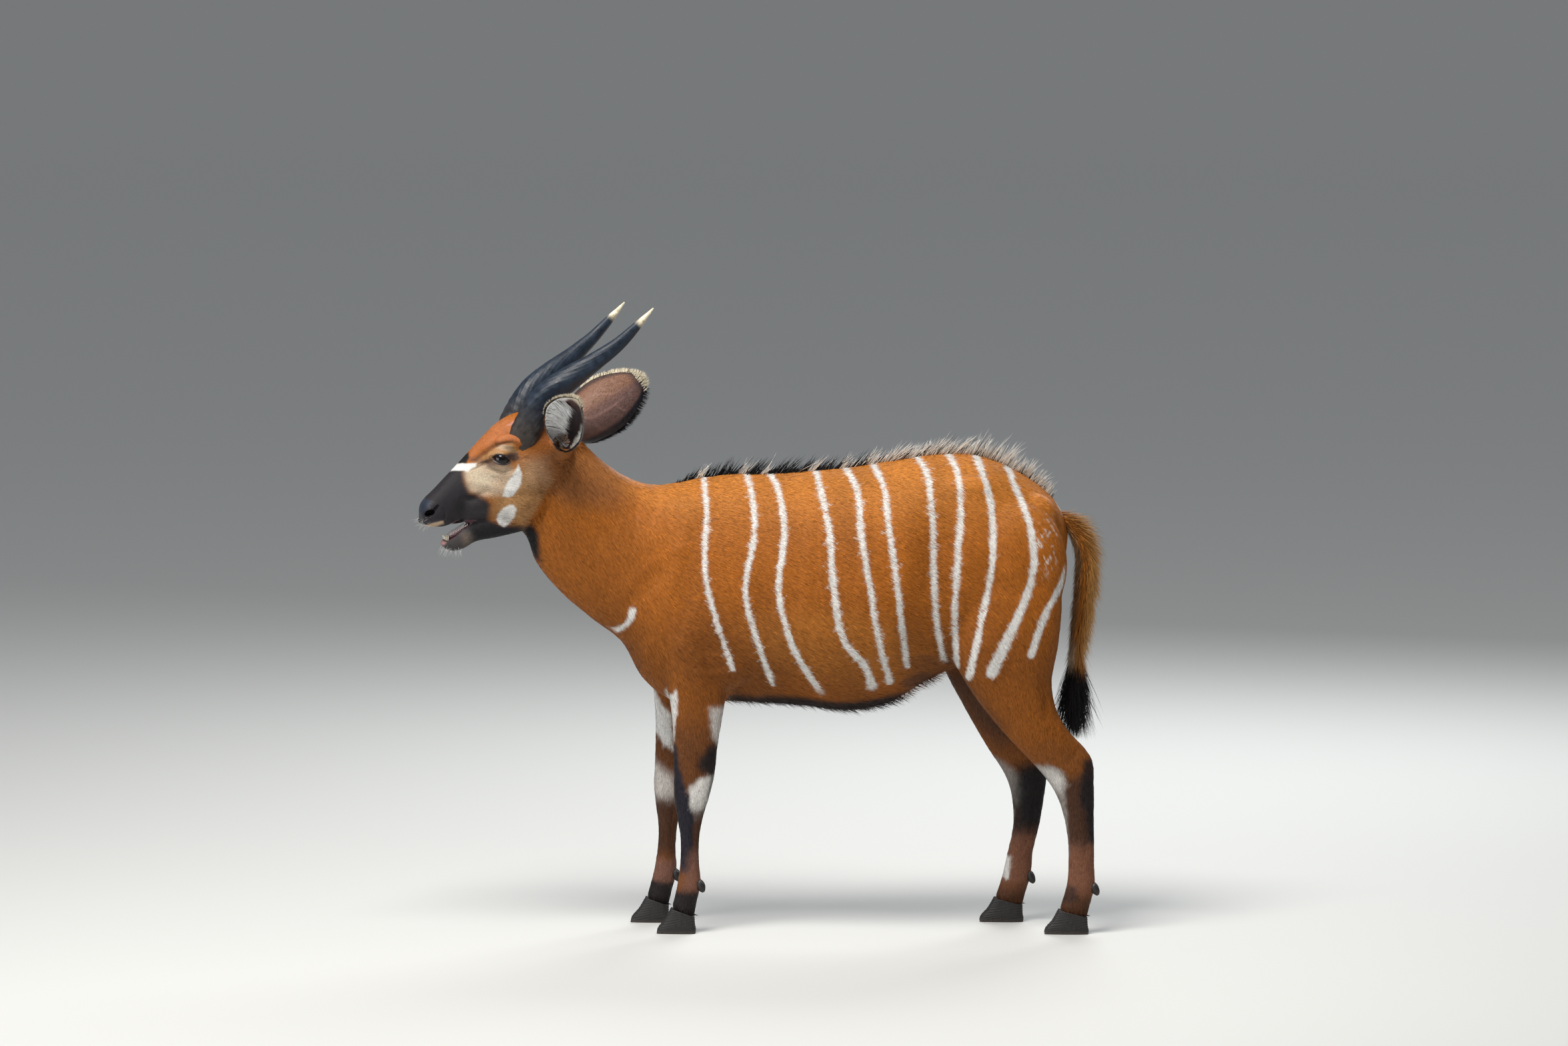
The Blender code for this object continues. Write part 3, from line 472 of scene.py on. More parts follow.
# The nose pad's outline on the level head, and the hollow of the open mouth as rows of a loft
NOSE_PAD = [(-810, 950), (-810, 1010), (-795, 1024), (-772, 1012), (-764, 1000), (-776, 984),
            (-782, 966), (-788, 952)]
TROUGH = [
    (-748, 928, -742, 917, 5), (-738, 940, -727, 922, 9.5), (-718, 953, -704, 930, 11.5),
    (-694, 966, -679, 943, 13), (-668, 980, -655, 958, 14),
]
# The near lip of the jaw, pulled down a little more than the far one
NEAR_LIP = [
    (-764, 930, -757, 910, 14), (-745, 946, -731, 921, 15), (-722, 964, -706, 940, 14),
    (-704, 976, -692, 957, 11),
]
NEAR_LIP_MIDDLE = -17
# Tendons and knuckles of the left legs
LEG_FOLDS = [
    ([(-122, 300), (-134, 220), (-132, 150)], 5, 2.0),
    ([(-142, 300), (-151, 220), (-148, 150)], 4, -2.4),
    ([(-178, 330), (-185, 370), (-178, 410)], 7, 2.4),
    ([(-140, 330), (-135, 370), (-142, 420)], 6, -2.0),
    ([(770, 300), (776, 220), (774, 160)], 5, 2.0),
    ([(752, 310), (760, 220), (757, 160)], 4, -2.4),
    ([(712, 380), (740, 420), (746, 450)], 8, -1.6),
    ([(690, 350), (706, 330), (722, 318)], 7, 2.0),
]
# Folds round the eye and cheek, the mouth's corner, the jaw and the nostril
FACE_FOLDS = [
    ([(-648, 1120), (-632, 1139), (-610, 1147), (-586, 1142), (-566, 1124)], 3.4, -3.0),
    ([(-660, 1134), (-630, 1156), (-596, 1162), (-562, 1146)], 6, 2.6),
    ([(-652, 1095), (-634, 1084), (-612, 1081), (-590, 1089)], 3.0, -2.2),
    ([(-655, 1085), (-632, 1073), (-606, 1071), (-580, 1084)], 4.0, 1.4),
    ([(-643, 1104), (-656, 1100), (-672, 1091), (-688, 1083)], 2.6, -2.6),
    ([(-577, 1110), (-560, 1112), (-545, 1104)], 3.0, -1.6),
    ([(-700, 1062), (-660, 1054), (-610, 1040), (-560, 1038)], 9, 2.4),
    ([(-716, 1024), (-690, 1018), (-664, 1030), (-644, 1040)], 8, -3.6),
    ([(-700, 1000), (-676, 1004), (-652, 1012)], 8, 2.0),
    ([(-722, 968), (-704, 958), (-690, 948)], 4.0, -3.0),
    ([(-640, 955), (-600, 962), (-560, 985), (-536, 1030)], 10, -3.0),
    ([(-560, 1080), (-540, 1040), (-542, 1000)], 10, 2.5),
    ([(-758, 1000), (-748, 984), (-752, 970)], 4.0, -1.8),
]


def level_view(points):
    """The level head seen from its side, in millimetres."""
    return levelled(points)[:, [0, 2]] / MM


def softened(t):
    """An even step from 0 to 1."""
    t = np.clip(t, 0, 1)
    return t * t * (3 - 2 * t)


COAT_DEPTH = 0.0034
COAT_THINNED = 0.0022
LEG_TOP = (430, 60)


def step(value, start, end):
    """An even step from 0, where the value is at the start, to 1, where it is at the end."""
    return softened((value - start) / (end - start))


def coat_depth(points):
    """How deep the coat lies over the skin: least on the face and feet."""
    face = softened(ahead_of(points, NECK_CUT) / 0.10)
    low = step(points[:, 2], 0.5, 0.25)
    return COAT_DEPTH - COAT_THINNED * np.maximum(face, low)


def creased(form, on_skull):
    """The form with its swells, folds and creases, sunk by the coat's depth."""
    points, faces = form
    normals = normals_of(points, faces)
    rise = -coat_depth(points) / MM
    flat = np.abs(normals[:, 1]) ** 0.5
    if on_skull:
        rise += folded(level_view(points), FACE_FOLDS) * softened(np.abs(normals[:, 1]) * 2.5)
    else:
        view = side_view(points, np.zeros(len(points), bool))
        leg_view, _ = leg_side_view(points)
        high = softened((points[:, 2] / MM - LEG_TOP[0]) / LEG_TOP[1])
        swell = sum(row[5] * patch(view, *row[:5], edge=1.4) for row in BODY_SWELLS)
        rise += (swell + folded(view, BODY_FOLDS)) * flat * high
        rise += folded(leg_view, LEG_FOLDS) * (1 - high) * flat
    return points + normals * (rise * MM)[:, None], faces


def eye_turn(points, side):
    """From an eye's own frame, its forward axis y, to its place in the head."""
    c, s = math.cos(EYE_FORWARD), math.sin(EYE_FORWARD)
    x = points[..., 0] * c - points[..., 1] * s
    y = points[..., 0] * s + points[..., 1] * c
    return on_head(np.stack([x, y, points[..., 2]], axis=-1) + EYE_CENTRE, side)


def lid_outline(count):
    """The almond between the lids, as slopes across and upright of the line of sight."""
    angle = np.linspace(0.0, 2 * np.pi, count, endpoint=False)
    wide, tall = (math.tan(half) for half in LID_OPENING)
    across = np.cos(angle) * wide
    upright = np.sin(angle) * tall * (1 - 0.35 * np.cos(angle) ** 2) - across * LID_SLOPE
    return np.stack([across, np.ones(count), upright], axis=1)


nape = loft(TRUNK[:NAPE_ROWS], 80, 80, *TRUNK_SHAPE, TRUNK_MIDDLE[:NAPE_ROWS])
body = creased(melted(trunk_forms() + head_forms(), BODY_VOXEL, BODY_PASSES), False)
head = creased(melted(head_forms() + [nape], HEAD_VOXEL, HEAD_PASSES), True)
for side in (-1, 1):
    outline = lid_outline(64)
    reach = np.array(SOCKET_REACH)[:, None, None] * EYE_RADIUS
    head = cut(head, tube(eye_turn(outline[None] * reach, side)))
    head = cut(head, headed(ball(EYE_CENTRE, [EYE_RADIUS + EYE_PLAY] * 3), side))
    for *row, tilt in NOSTRIL_HOLLOWS:
        head = cut(head, headed(oval(row, tilt), side))
head = cut(head, headed(loft(TROUGH, 40, 36, 2.3)))
head = cut(head, headed(loft(NEAR_LIP, 40, 36, 2.3, 0.0, [NEAR_LIP_MIDDLE] * len(NEAR_LIP))))
uneven = np.random.default_rng(5).normal(0, BODY_GRAIN, len(body[0]))[:, None]
body = worked(body[0] + normals_of(*body) * uneven, body[1], ("DECIMATE", {"ratio": BODY_SHARE}))
near_seam = softened(ahead_of(body[0], NECK_CUT) / 0.02 + 1)[:, None]
body = body[0] - normals_of(*body) * SEAM_INSET * near_seam, body[1]
body = kept_side(body, NECK_CUT, SEAM, False)
head = kept_side(head, NECK_CUT, -SEAM, True)
skin_points, skin_faces = cut(body, head, "UNION")

# The hide's colours: a chestnut coat with white stripes and marks, black on the muzzle, throat,
# belly and legs. A point's colour is worked out from where it shows from the side.
CHESTNUT = (0.385, 0.113, 0.0090)
ORANGE = (0.590, 0.212, 0.032)
GOLD = (0.400, 0.225, 0.095)
RED = (0.450, 0.150, 0.050)
BROWN = (0.175, 0.056, 0.010)
DARK_BROWN = (0.060, 0.024, 0.012)
BEIGE = (0.540, 0.390, 0.265)
CREAM = (0.700, 0.610, 0.450)
WHITE = (0.820, 0.800, 0.760)
ASH = (0.280, 0.250, 0.225)
GREY = (0.080, 0.070, 0.070)
SLATE = (0.021, 0.018, 0.022)
BLACK = (0.009, 0.008, 0.009)
NIGHT = (0.009, 0.012, 0.022)
PINK = (0.560, 0.300, 0.290)
ROSE = (0.190, 0.090, 0.066)
NECK_SHADOW_BROWN = (0.190, 0.080, 0.033)
STRAW = (0.800, 0.460, 0.150)
CHALK = (0.960, 0.950, 0.920)
STEEL = (0.025, 0.032, 0.050)
GUM = (0.100, 0.050, 0.060)

# Broad shades of the trunk: colour, share, and a soft ellipse as its place, half-sizes and tilt. The
# second is a painted shadow on the upper neck behind the ear and horn
BROAD_SHADES = [
    (ORANGE, 0.50, (-300, 1050, 150, 40, -22)),
    (NECK_SHADOW_BROWN, 0.60, (-420, 1060, 120, 70, -22)),
    (BROWN, 0.35, (-40, 640, 150, 110, 0)),
    (ORANGE, 0.45, (190, 660, 200, 80, -8)),
]
BROAD_EDGE = 0.9
# White stripes of the flank, front to rear, each from the spine down, then the chest's crescent:
# half width at the top and at the bottom, and its line
STRIPES = [
    (5.5, 6.0, [(-129, 1070), (-121, 1003), (-121, 820), (-84, 680), (-59, 608)]),
    (6.0, 6.0, [(-33, 1076), (-22, 1046), (-8, 944), (-29, 777), (0, 666), (33, 572)]),
    (6.5, 6.5, [(19, 1076), (40, 1040), (59, 944), (48, 777), (84, 651), (146, 549)]),
    (6.5, 9.0, [(132, 1076), (164, 930), (174, 798), (202, 666), (252, 606), (264, 566)]),
    (6.5, 7.0, [(202, 1076), (223, 1040), (237, 922), (256, 806), (277, 680), (304, 578)]),
    (6.5, 7.0, [(267, 1083), (285, 1046), (301, 936), (318, 820), (332, 702), (344, 615)]),
    (6.5, 6.5, [(366, 1105), (384, 1076), (400, 981), (405, 820), (414, 702), (431, 623)]),
    (6.5, 6.5, [(436, 1113), (454, 1083), (467, 989), (460, 871), (454, 710), (459, 615)]),
    (7.0, 8.0, [(501, 1116), (512, 1083), (535, 1003), (542, 893), (508, 688), (487, 589)]),
    (7.0, 13.0, [(574, 1091), (589, 1046), (622, 959), (636, 857), (574, 674), (538, 600)]),
    (7.0, 8.0, [(676, 1040), (699, 995), (727, 914), (710, 828), (662, 732), (629, 640)]),
    (6.0, 7.0, [(-375, 708), (-329, 698), (-298, 721), (-290, 744)]),
]
# Marks of the head as they show from the left: colour, share, softness of the edge in
# millimetres, and a closed outline
FACE_MARKS = [
    (GOLD, 0.85, 70, [(-600, 1070), (-520, 1080), (-470, 1030), (-480, 960), (-540, 930), (-620, 960)]),
    (BROWN, 0.45, 60, [(-500, 1060), (-430, 1010), (-440, 900), (-540, 940)]),
    (RED, 0.90, 26, [(-676, 1104), (-598, 1196), (-530, 1176), (-540, 1132), (-640, 1120), (-656, 1100)]),
    (RED, 0.70, 30, [(-530, 1190), (-450, 1160), (-470, 1130), (-520, 1140)]),
    (BEIGE, 1.00, 20, [(-684, 1072), (-650, 1086), (-572, 1082), (-560, 1058), (-588, 1012), (-640, 1008),
                       (-672, 1022)]),
    (CREAM, 0.55, 30, [(-672, 1066), (-640, 1074), (-604, 1058), (-616, 1030), (-652, 1028)]),
    (GREY, 0.75, 22, [(-664, 1096), (-616, 1078), (-572, 1090), (-560, 1116), (-576, 1114), (-592, 1094),
                      (-640, 1094)]),
    (BLACK, 0.85, 4, [(-648, 1083), (-612, 1101), (-604, 1098), (-612, 1091)]),
    (SLATE, 0.85, 10, [(-584, 1104), (-572, 1114), (-556, 1114), (-550, 1096), (-562, 1088)]),
    (GOLD, 0.85, 14, [(-646, 1092), (-606, 1124), (-566, 1134), (-554, 1112), (-580, 1108), (-612, 1098)]),
    (DARK_BROWN, 0.60, 9, [(-664, 1092), (-632, 1116), (-604, 1134), (-566, 1140), (-562, 1133),
                           (-600, 1126), (-626, 1108), (-650, 1090)]),
    (BEIGE, 0.85, 8, [(-606, 1121), (-592, 1129), (-570, 1124), (-568, 1114), (-590, 1117)]),
    (BEIGE, 0.30, 50, [(-548, 1100), (-486, 1096), (-482, 1040), (-536, 1036)]),
    (SLATE, 1.00, 20, [(-830, 1060), (-720, 1110), (-679, 1069), (-676, 1044), (-664, 1018), (-626, 1002),
                       (-617, 988), (-622, 956), (-600, 946), (-545, 939), (-545, 915), (-640, 880),
                       (-800, 860), (-850, 960)]),
    (BLACK, 0.90, 26, [(-700, 998), (-664, 1012), (-638, 1006), (-662, 988), (-686, 968), (-702, 976)]),
    (BLACK, 0.80, 26, [(-656, 962), (-600, 940), (-540, 934), (-540, 915), (-650, 890), (-672, 930)]),
    (GREY, 0.25, 24, [(-672, 1000), (-630, 996), (-618, 974), (-640, 952), (-676, 952)]),
    (BLACK, 1.00, 7, [(-700, 1082), (-682, 1102), (-668, 1112), (-666, 1098), (-674, 1084)]),
    (WHITE, 1.00, 5, [(-716, 1068), (-697, 1084), (-678, 1085), (-649, 1085), (-651, 1077), (-662, 1072),
                      (-669, 1065), (-678, 1069)]),
    (WHITE, 1.00, 6, [(-552, 1083), (-545, 1060), (-546, 1040), (-562, 1013), (-576, 1007), (-589, 1009),
                      (-586, 1022), (-577, 1042), (-564, 1060)]),
    (WHITE, 0.95, 6, [(-564, 989), (-558, 979), (-562, 962), (-574, 947), (-586, 939), (-598, 944),
                      (-604, 954), (-600, 968), (-586, 983), (-574, 989)]),
    (GREY, 0.30, 18, [(-588, 976), (-574, 978), (-572, 962), (-588, 956)]),
    (GREY, 0.60, 18, [(-740, 930), (-714, 946), (-672, 940), (-652, 912), (-690, 872), (-750, 880)]),
    (BEIGE, 0.20, 22, [(-684, 922), (-668, 922), (-662, 900), (-680, 896)]),
    (STEEL, 1.00, 5, [(-800, 960), (-800, 1000), (-776, 1008), (-756, 1001), (-752, 990), (-779, 964),
                      (-774, 948), (-786, 938)]),
    (PINK, 0.60, 6, [(-580, 1172), (-562, 1184), (-544, 1190), (-546, 1182), (-564, 1174)]),
    (BEIGE, 0.80, 5, [(-784, 938), (-752, 946), (-726, 952), (-724, 945), (-752, 936), (-778, 930)]),
    (PINK, 0.85, 7, [(-748, 908), (-736, 917), (-716, 916), (-722, 897), (-742, 894)]),
]
THROAT = [(-549, 942), (-524, 946), (-508, 922), (-505, 857), (-520, 864), (-545, 905)]
# Marks of the legs: which face shows it (1 outer, -1 inner, 0 both), then the same
LEG_MARKS = [
    (0, BROWN, 0.88, 110, [(-280, 500), (-20, 500), (-40, -40), (-290, -40)]),
    (0, DARK_BROWN, 0.40, 90, [(-290, 450), (-10, 450), (-40, 250), (-290, 250)]),
    (-1, WHITE, 0.95, 12, [(-214, 560), (-188, 512), (-161, 483), (-153, 399), (-173, 412), (-199, 444),
                           (-216, 480)]),
    (-1, WHITE, 0.65, 34, [(-210, 380), (-152, 337), (-136, 276), (-200, 276)]),
    (-1, DARK_BROWN, 0.90, 44, [(-205, 286), (-136, 290), (-130, 150), (-210, 150)]),
    (-1, ROSE, 0.85, 30, [(-220, 140), (-120, 140), (-130, 58), (-220, 58)]),
    (1, WHITE, 0.90, 7, [(-206, 544), (-188, 562), (-186, 537), (-190, 503), (-196, 440), (-204, 440),
                         (-212, 514)]),
    (1, WHITE, 0.75, 18, [(-112, 516), (-70, 520), (-76, 436), (-94, 428), (-105, 451), (-110, 488)]),
    (1, WHITE, 0.85, 12, [(-160, 330), (-135, 352), (-92, 364), (-92, 327), (-112, 285), (-128, 262),
                          (-148, 250), (-161, 292)]),
    (1, BLACK, 0.65, 9, [(-108, 360), (-98, 356), (-112, 296), (-128, 262), (-134, 270), (-120, 300)]),
    (1, BLACK, 0.95, 22, [(-136, 398), (-116, 424), (-80, 438), (-84, 372), (-108, 358), (-132, 368),
                          (-142, 384)]),
    (1, DARK_BROWN, 0.92, 34, [(-162, 276), (-108, 286), (-108, 150), (-164, 150)]),
    (1, NIGHT, 0.95, 13, [(-206, 436), (-190, 430), (-182, 372), (-161, 312), (-150, 255), (-152, 199),
                          (-160, 132), (-180, 132), (-188, 199), (-192, 274), (-200, 340), (-208, 380)]),
    (1, ROSE, 0.75, 34, [(-158, 180), (-118, 190), (-118, 80), (-180, 80), (-172, 120)]),
    (0, BLACK, 0.97, 14, [(-250, 92), (-90, 84), (-90, -20), (-260, -20)]),
    (-1, DARK_BROWN, 0.85, 60, [(430, 660), (690, 640), (720, 420), (640, 400), (560, 460), (460, 580)]),
    (0, BROWN, 0.70, 90, [(620, 420), (800, 440), (800, 20), (680, 20)]),
    (0, DARK_BROWN, 0.95, 34, [(690, 340), (744, 360), (806, 356), (806, 190), (680, 190)]),
    (0, ROSE, 0.60, 50, [(680, 200), (806, 200), (806, 76), (670, 76)]),
    (0, DARK_BROWN, 0.85, 40, [(670, 76), (806, 76), (806, -20), (660, -20)]),
    (-1, ASH, 0.90, 22, [(628, 384), (664, 374), (705, 348), (737, 300), (718, 265), (692, 290),
                         (664, 332)]),
    (-1, BLACK, 0.95, 44, [(706, 362), (740, 370), (800, 352), (800, 215), (722, 215), (708, 290)]),
    (-1, ASH, 0.80, 9, [(700, 262), (714, 256), (720, 180), (724, 95), (700, 95), (702, 180)]),
    (-1, WHITE, 0.85, 8, [(712, 146), (730, 146), (729, 96), (708, 96)]),
    (1, ASH, 0.90, 10, [(628, 386), (682, 382), (706, 369), (715, 349), (712, 319), (714, 289), (718, 236),
                        (721, 170), (700, 170), (696, 236), (684, 276), (664, 320), (644, 352)]),
    (1, WHITE, 0.55, 20, [(650, 378), (690, 374), (706, 352), (702, 320), (684, 330)]),
    (1, BLACK, 0.90, 18, [(754, 396), (790, 402), (794, 196), (766, 206), (757, 274), (744, 300),
                          (748, 349)]),
    (1, BLACK, 0.70, 16, [(700, 108), (736, 100), (746, 66), (690, 60)]),
]


WAVES = 7
STRIPE_EDGE = 2.4
STRIPE_WAVER = 0.9
# Heights: the black belly line's upper end and the lowest belly, where the leg marks take over
BELLY_TOP, BELLY_LOW = 562, 470
LEG_MARK_TOP = 0.62


def waves(points, pitch, seed):
    """A smooth field between about -1 and 1 with bumps of about this pitch: a mean of sines, each
    along its own direction."""
    draw = np.random.default_rng(seed)
    ways = unit(draw.normal(size=(WAVES, 3)))
    rates = 2 * np.pi / (pitch * draw.uniform(0.7, 1.6, WAVES))
    return np.sin((points @ ways.T) * rates + draw.uniform(0, 6.28, WAVES)).mean(axis=1) * 1.9


def laid(colour, over, share):
    """A colour laid over one other, or over the present one of each point, by a share at each."""
    colour = np.asarray(colour)
    return colour + (np.array(over) - colour) * share[:, None]


def within(view, outline, edge):
    """How far each point of a view lies within a closed outline, from 1 inside to 0 outside,
    across an edge of this many millimetres."""
    ring = np.array(outline, float)
    low, high = ring.min(axis=0) - edge, ring.max(axis=0) + edge
    near = np.flatnonzero(((view > low) & (view < high)).all(axis=1))
    share = np.zeros(len(view))
    run = np.roll(ring, -1, axis=0) - ring
    off = view[near][:, None] - ring
    t = np.clip((off * run).sum(axis=2) / (run**2).sum(axis=1), 0, 1)
    away = np.linalg.norm(off - t[:, :, None] * run, axis=2).min(axis=1)
    rise = np.where(run[:, 1] == 0, 1e-9, run[:, 1])
    crossed = (off[:, :, 1] < 0) != (off[:, :, 1] < run[:, 1])
    inside = (crossed & (off[:, :, 0] < off[:, :, 1] / rise * run[:, 0])).sum(axis=1) % 2 == 1
    share[near] = softened(np.where(inside, away, -away) / edge + 0.5)
    return share


def striped(colour, view, points, normals, body):
    """The colours with white stripes laid over the trunk. A stripe fades out where the skin turns
    to the rear or the ground, and between the hind legs."""
    x, z = view.T
    for top, bottom, line in STRIPES:
        low, high = np.min(line, axis=0) - 40, np.max(line, axis=0) + 60
        near = body & (view > low).all(axis=1) & (view < high).all(axis=1)
        off, along = line_distance(view[near], line)
        width = top + (bottom - top) * along**3 + STRIPE_WAVER * waves(points[near], 0.06, 4)
        share = softened((width - off) / STRIPE_EDGE + 0.5) * step(normals[near, 0], 0.93, 0.78)
        share *= step(normals[near, 2], -0.8, -0.6)
        between = step(x[near], 360, 420) * step(z[near], 760, 720)
        share *= 1 - between * step(np.abs(points[near, 1]), 0.075, 0.055)
        colour[near] = laid(colour[near], WHITE, share * 0.97)
    return colour


def coat_colour(points, normals, on_skull):
    """The coat's colour at points of the skin: the trunk's shades, a painted shadow on the upper neck,
    painted shade towards the ground and in the groin, its black underside and spine, the stripes,
    then the marks of the throat, rump, legs and face."""
    wobble = np.stack([waves(points, 0.013, 1), waves(points, 0.015, 2)], axis=1) * 0.7
    view = side_view(points, on_skull) + wobble
    x, z = view.T
    colour = laid(CHESTNUT, ORANGE, 0.75 * step(z, 880, 1070) * step(x, -330, -130))
    colour = laid(colour, BROWN, 0.22 * softened((x + 180) / -160) * step(z, 1000, 880))
    for over, share, ellipse in BROAD_SHADES:
        colour = laid(colour, over, share * patch(view, *ellipse, BROAD_EDGE))
    # Painted shade: the coat darker towards the ground, as under light from above
    colour *= 1 - 0.30 * step(z, 840, 600)[:, None]
    colour *= 1 + 0.09 * waves(points, 0.12, 3)[:, None]
    under = step(-normals[:, 2], 0.74, 0.9)
    belly = under * step(x, -110, -50) * step(x, 400, 350) * (z > BELLY_LOW)
    belly *= step(np.abs(points[:, 1]), 0.12, 0.09) * softened((BELLY_TOP - z) / 16)
    colour = laid(colour, BLACK, belly * 0.96)
    # Painted shade: brown on the down-facing skin of the groin, and dark brown under the fold from thigh
    # to belly
    groin_shade = step(-normals[:, 2], 0.3, 0.6) * step(x, 330, 390) * (z > BELLY_LOW)
    colour = laid(colour, BROWN, groin_shade * 0.7)
    colour = laid(colour, DARK_BROWN, 0.6 * patch(view, 372, 580, 40, 16, 10, BROAD_EDGE))
    spine = step(np.abs(points[:, 1]), 0.012, 0.004) * step(normals[:, 2], 0.6, 0.9)
    colour = laid(colour, BLACK, spine * step(x, -240, -180) * step(x, 190, 30) * 0.8)
    body = ~on_skull
    colour = striped(colour, view, points, normals, body)
    colour = laid(colour, BLACK, within(view, THROAT, 20))
    flecks = patch(view, 662, 900, 30, 70, 0, 0.8) * step(waves(points, 0.012, 5), 0.5, 0.8)
    colour = laid(colour, WHITE, flecks * 0.6 * body)
    low = body & (points[:, 2] < LEG_MARK_TOP)
    leg_view, outer = leg_side_view(points[low])
    leg_view += wobble[low] * 3
    shade = colour[low]
    for face, over, share, edge, outline in LEG_MARKS:
        seen = 1.0 if face == 0 else softened(0.5 + face * outer * 1.6)
        shade = laid(shade, over, within(leg_view, outline, edge) * seen * share)
    colour[low] += (shade - colour[low]) * softened((LEG_MARK_TOP - points[low, 2]) / 0.05)[:, None]
    face = view[on_skull]
    shade = colour[on_skull]
    for over, share, edge, outline in FACE_MARKS:
        shade = laid(shade, over, within(face, outline, edge) * share)
    colour[on_skull] = shade
    return np.clip(colour, 0, 1)


def coloured(thing, name, colour):
    """Stores a colour at each point of a mesh, or the same one at all of them."""
    layer = thing.data.attributes.new(name, "FLOAT_COLOR", "POINT")
    rgba = np.ones((len(thing.data.vertices), 4), np.float32)
    rgba[:, :3] = colour
    layer.data.foreach_set("color", rgba.ravel())


def bare_share(points, normals, on_skull):
    """Where the hide has no hair: the nose pad, the inside of the mouth and the lids, and where
    that is the mouth."""
    level = levelled(points)
    x, y, z = level[:, 0], np.abs(level[:, 1]), level[:, 2]
    view = np.stack([x, z], axis=1) / MM
    eye = np.linalg.norm(np.stack([x, y, z], axis=1) - EYE_CENTRE, axis=1) < EYE_RADIUS + LID
    pad = within(view, NOSE_PAD, 3) > 0.5
    trough = np.array(TROUGH)
    rim = np.vstack([trough[:, :2] + (0, 1), trough[::-1, 2:4] - (0, 1)])
    wide = np.interp(view[:, 0], trough[:, 0], trough[:, 4]) * MM
    mouth = (within(view, rim, 2) > 0.5) & (y < wide + 0.001)
    palate = (x < -0.67) & (x > -0.775) & (z < 0.972) & (z > 0.935) & (y < 0.022)
    mouth |= palate & (normals[:, 2] < -0.55)
    return on_skull & (eye | pad | mouth), on_skull & mouth


def piece(name, points, faces, finish, smooth=True):
    """A finished piece: moved to its place over the floor, named and given its material."""
    thing = thing_of(name, points + SHIFT, faces)
    thing.data.materials.append(finish)
    if smooth:
        thing.data.shade_smooth()
    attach(thing, "root")
    return thing


def finish_of(name, **settings):
    """A new material, its shader with these settings, and the tree to add nodes to."""
    made = bpy.data.materials.new(name)
    made.use_nodes = True
    tree = made.node_tree
    shader = tree.nodes["Principled BSDF"]
    for key, value in settings.items():
        shader.inputs[key.replace("_", " ")].default_value = value
    return made, tree, shader


def node(tree, kind, inputs=(), **settings):
    """A node with its settings and its inputs, each a value or another node's output."""
    made = tree.nodes.new(kind)
    for key, value in settings.items():
        setattr(made, key, value)
    for key, value in dict(inputs).items():
        if isinstance(value, bpy.types.NodeSocket):
            tree.links.new(value, made.inputs[key])
        else:
            made.inputs[key].default_value = value
    return made


def bumped(tree, shader, height, distance):
    """Leads a height to the shader's normal."""
    bump = node(tree, "ShaderNodeBump", {"Height": height, "Distance": distance, "Strength": 1.0})
    tree.links.new(bump.outputs["Normal"], shader.inputs["Normal"])


def ranged(tree, value, span, ends):
    """A value that crosses a span, mapped to go between two ends."""
    inputs = {"Value": value, 1: span[0], 2: span[1], 3: ends[0], 4: ends[1]}
    return node(tree, "ShaderNodeMapRange", inputs).outputs[0]


def object_place(tree):
    """The object's own space, for a texture."""
    return node(tree, "ShaderNodeTexCoord").outputs["Object"]


def noise_of(tree, scale, detail, **more):
    """A noise in the object's own space, or in what else is given as its vector."""
    inputs = {"Vector": object_place(tree), "Scale": scale, "Detail": detail}
    return node(tree, "ShaderNodeTexNoise", inputs | more).outputs[0]


def grained(tree, shader, layer, noise, span, tones):
    """Gives the shader the colour stored on the mesh, times a grey that goes from the first to
    the second tone as the noise crosses its span."""
    shade = node(tree, "ShaderNodeAttribute", attribute_name=layer).outputs["Color"]
    grey = ranged(tree, noise, span, tones)
    grain = node(tree, "ShaderNodeCombineColor", {i: grey for i in range(3)}).outputs[0]
    inputs = {0: 1.0, 6: shade, 7: grain}
    mix = node(tree, "ShaderNodeMix", inputs, data_type="RGBA", blend_type="MULTIPLY")
    tree.links.new(mix.outputs[2], shader.inputs["Base Color"])


def roughened(tree, shader, value, span, roughness):
    """Varies the shader's roughness with a value that crosses a span."""
    tree.links.new(ranged(tree, value, span, roughness), shader.inputs["Roughness"])


HIDE, tree, shader = finish_of("hide", Roughness=0.58, Specular_IOR_Level=0.25)
hairs = noise_of(tree, 700.0, 3.0)
grained(tree, shader, "coat", hairs, (0.35, 0.65), (0.72, 1.2))
bumped(tree, shader, hairs, 0.0008)
wet = node(tree, "ShaderNodeAttribute", attribute_name="bare").outputs["Fac"]
roughened(tree, shader, wet, (0.0, 1.0), (0.58, 0.28))

# The skin under the coat is painted a tenth darker than the coat: painted shade beneath the hair
SKIN_PAINTED_SHADE = 0.9
eye_low, eye_high = (np.array(corner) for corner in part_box("left_eye"))
SHIFT = (eye_low + eye_high) / 2 - on_head(EYE_CENTRE, -1)
SHIFT[2] = 0.0
skin_normals = normals_of(skin_points, skin_faces)
skull = ahead_of(skin_points, NECK_CUT) > 0
skin = piece("skin", skin_points, skin_faces, HIDE)
bare, mouth = bare_share(skin_points, skin_normals, skull)
colour = coat_colour(skin_points, skin_normals, skull) * SKIN_PAINTED_SHADE
coloured(skin, "coat", laid(colour, GUM, mouth * 1.0))
coloured(skin, "bare", bare[:, None] * 1.0)
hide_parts("head", "jaw", "neck", "torso", "left_foreleg", "right_foreleg")
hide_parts("left_hindleg", "right_hindleg")

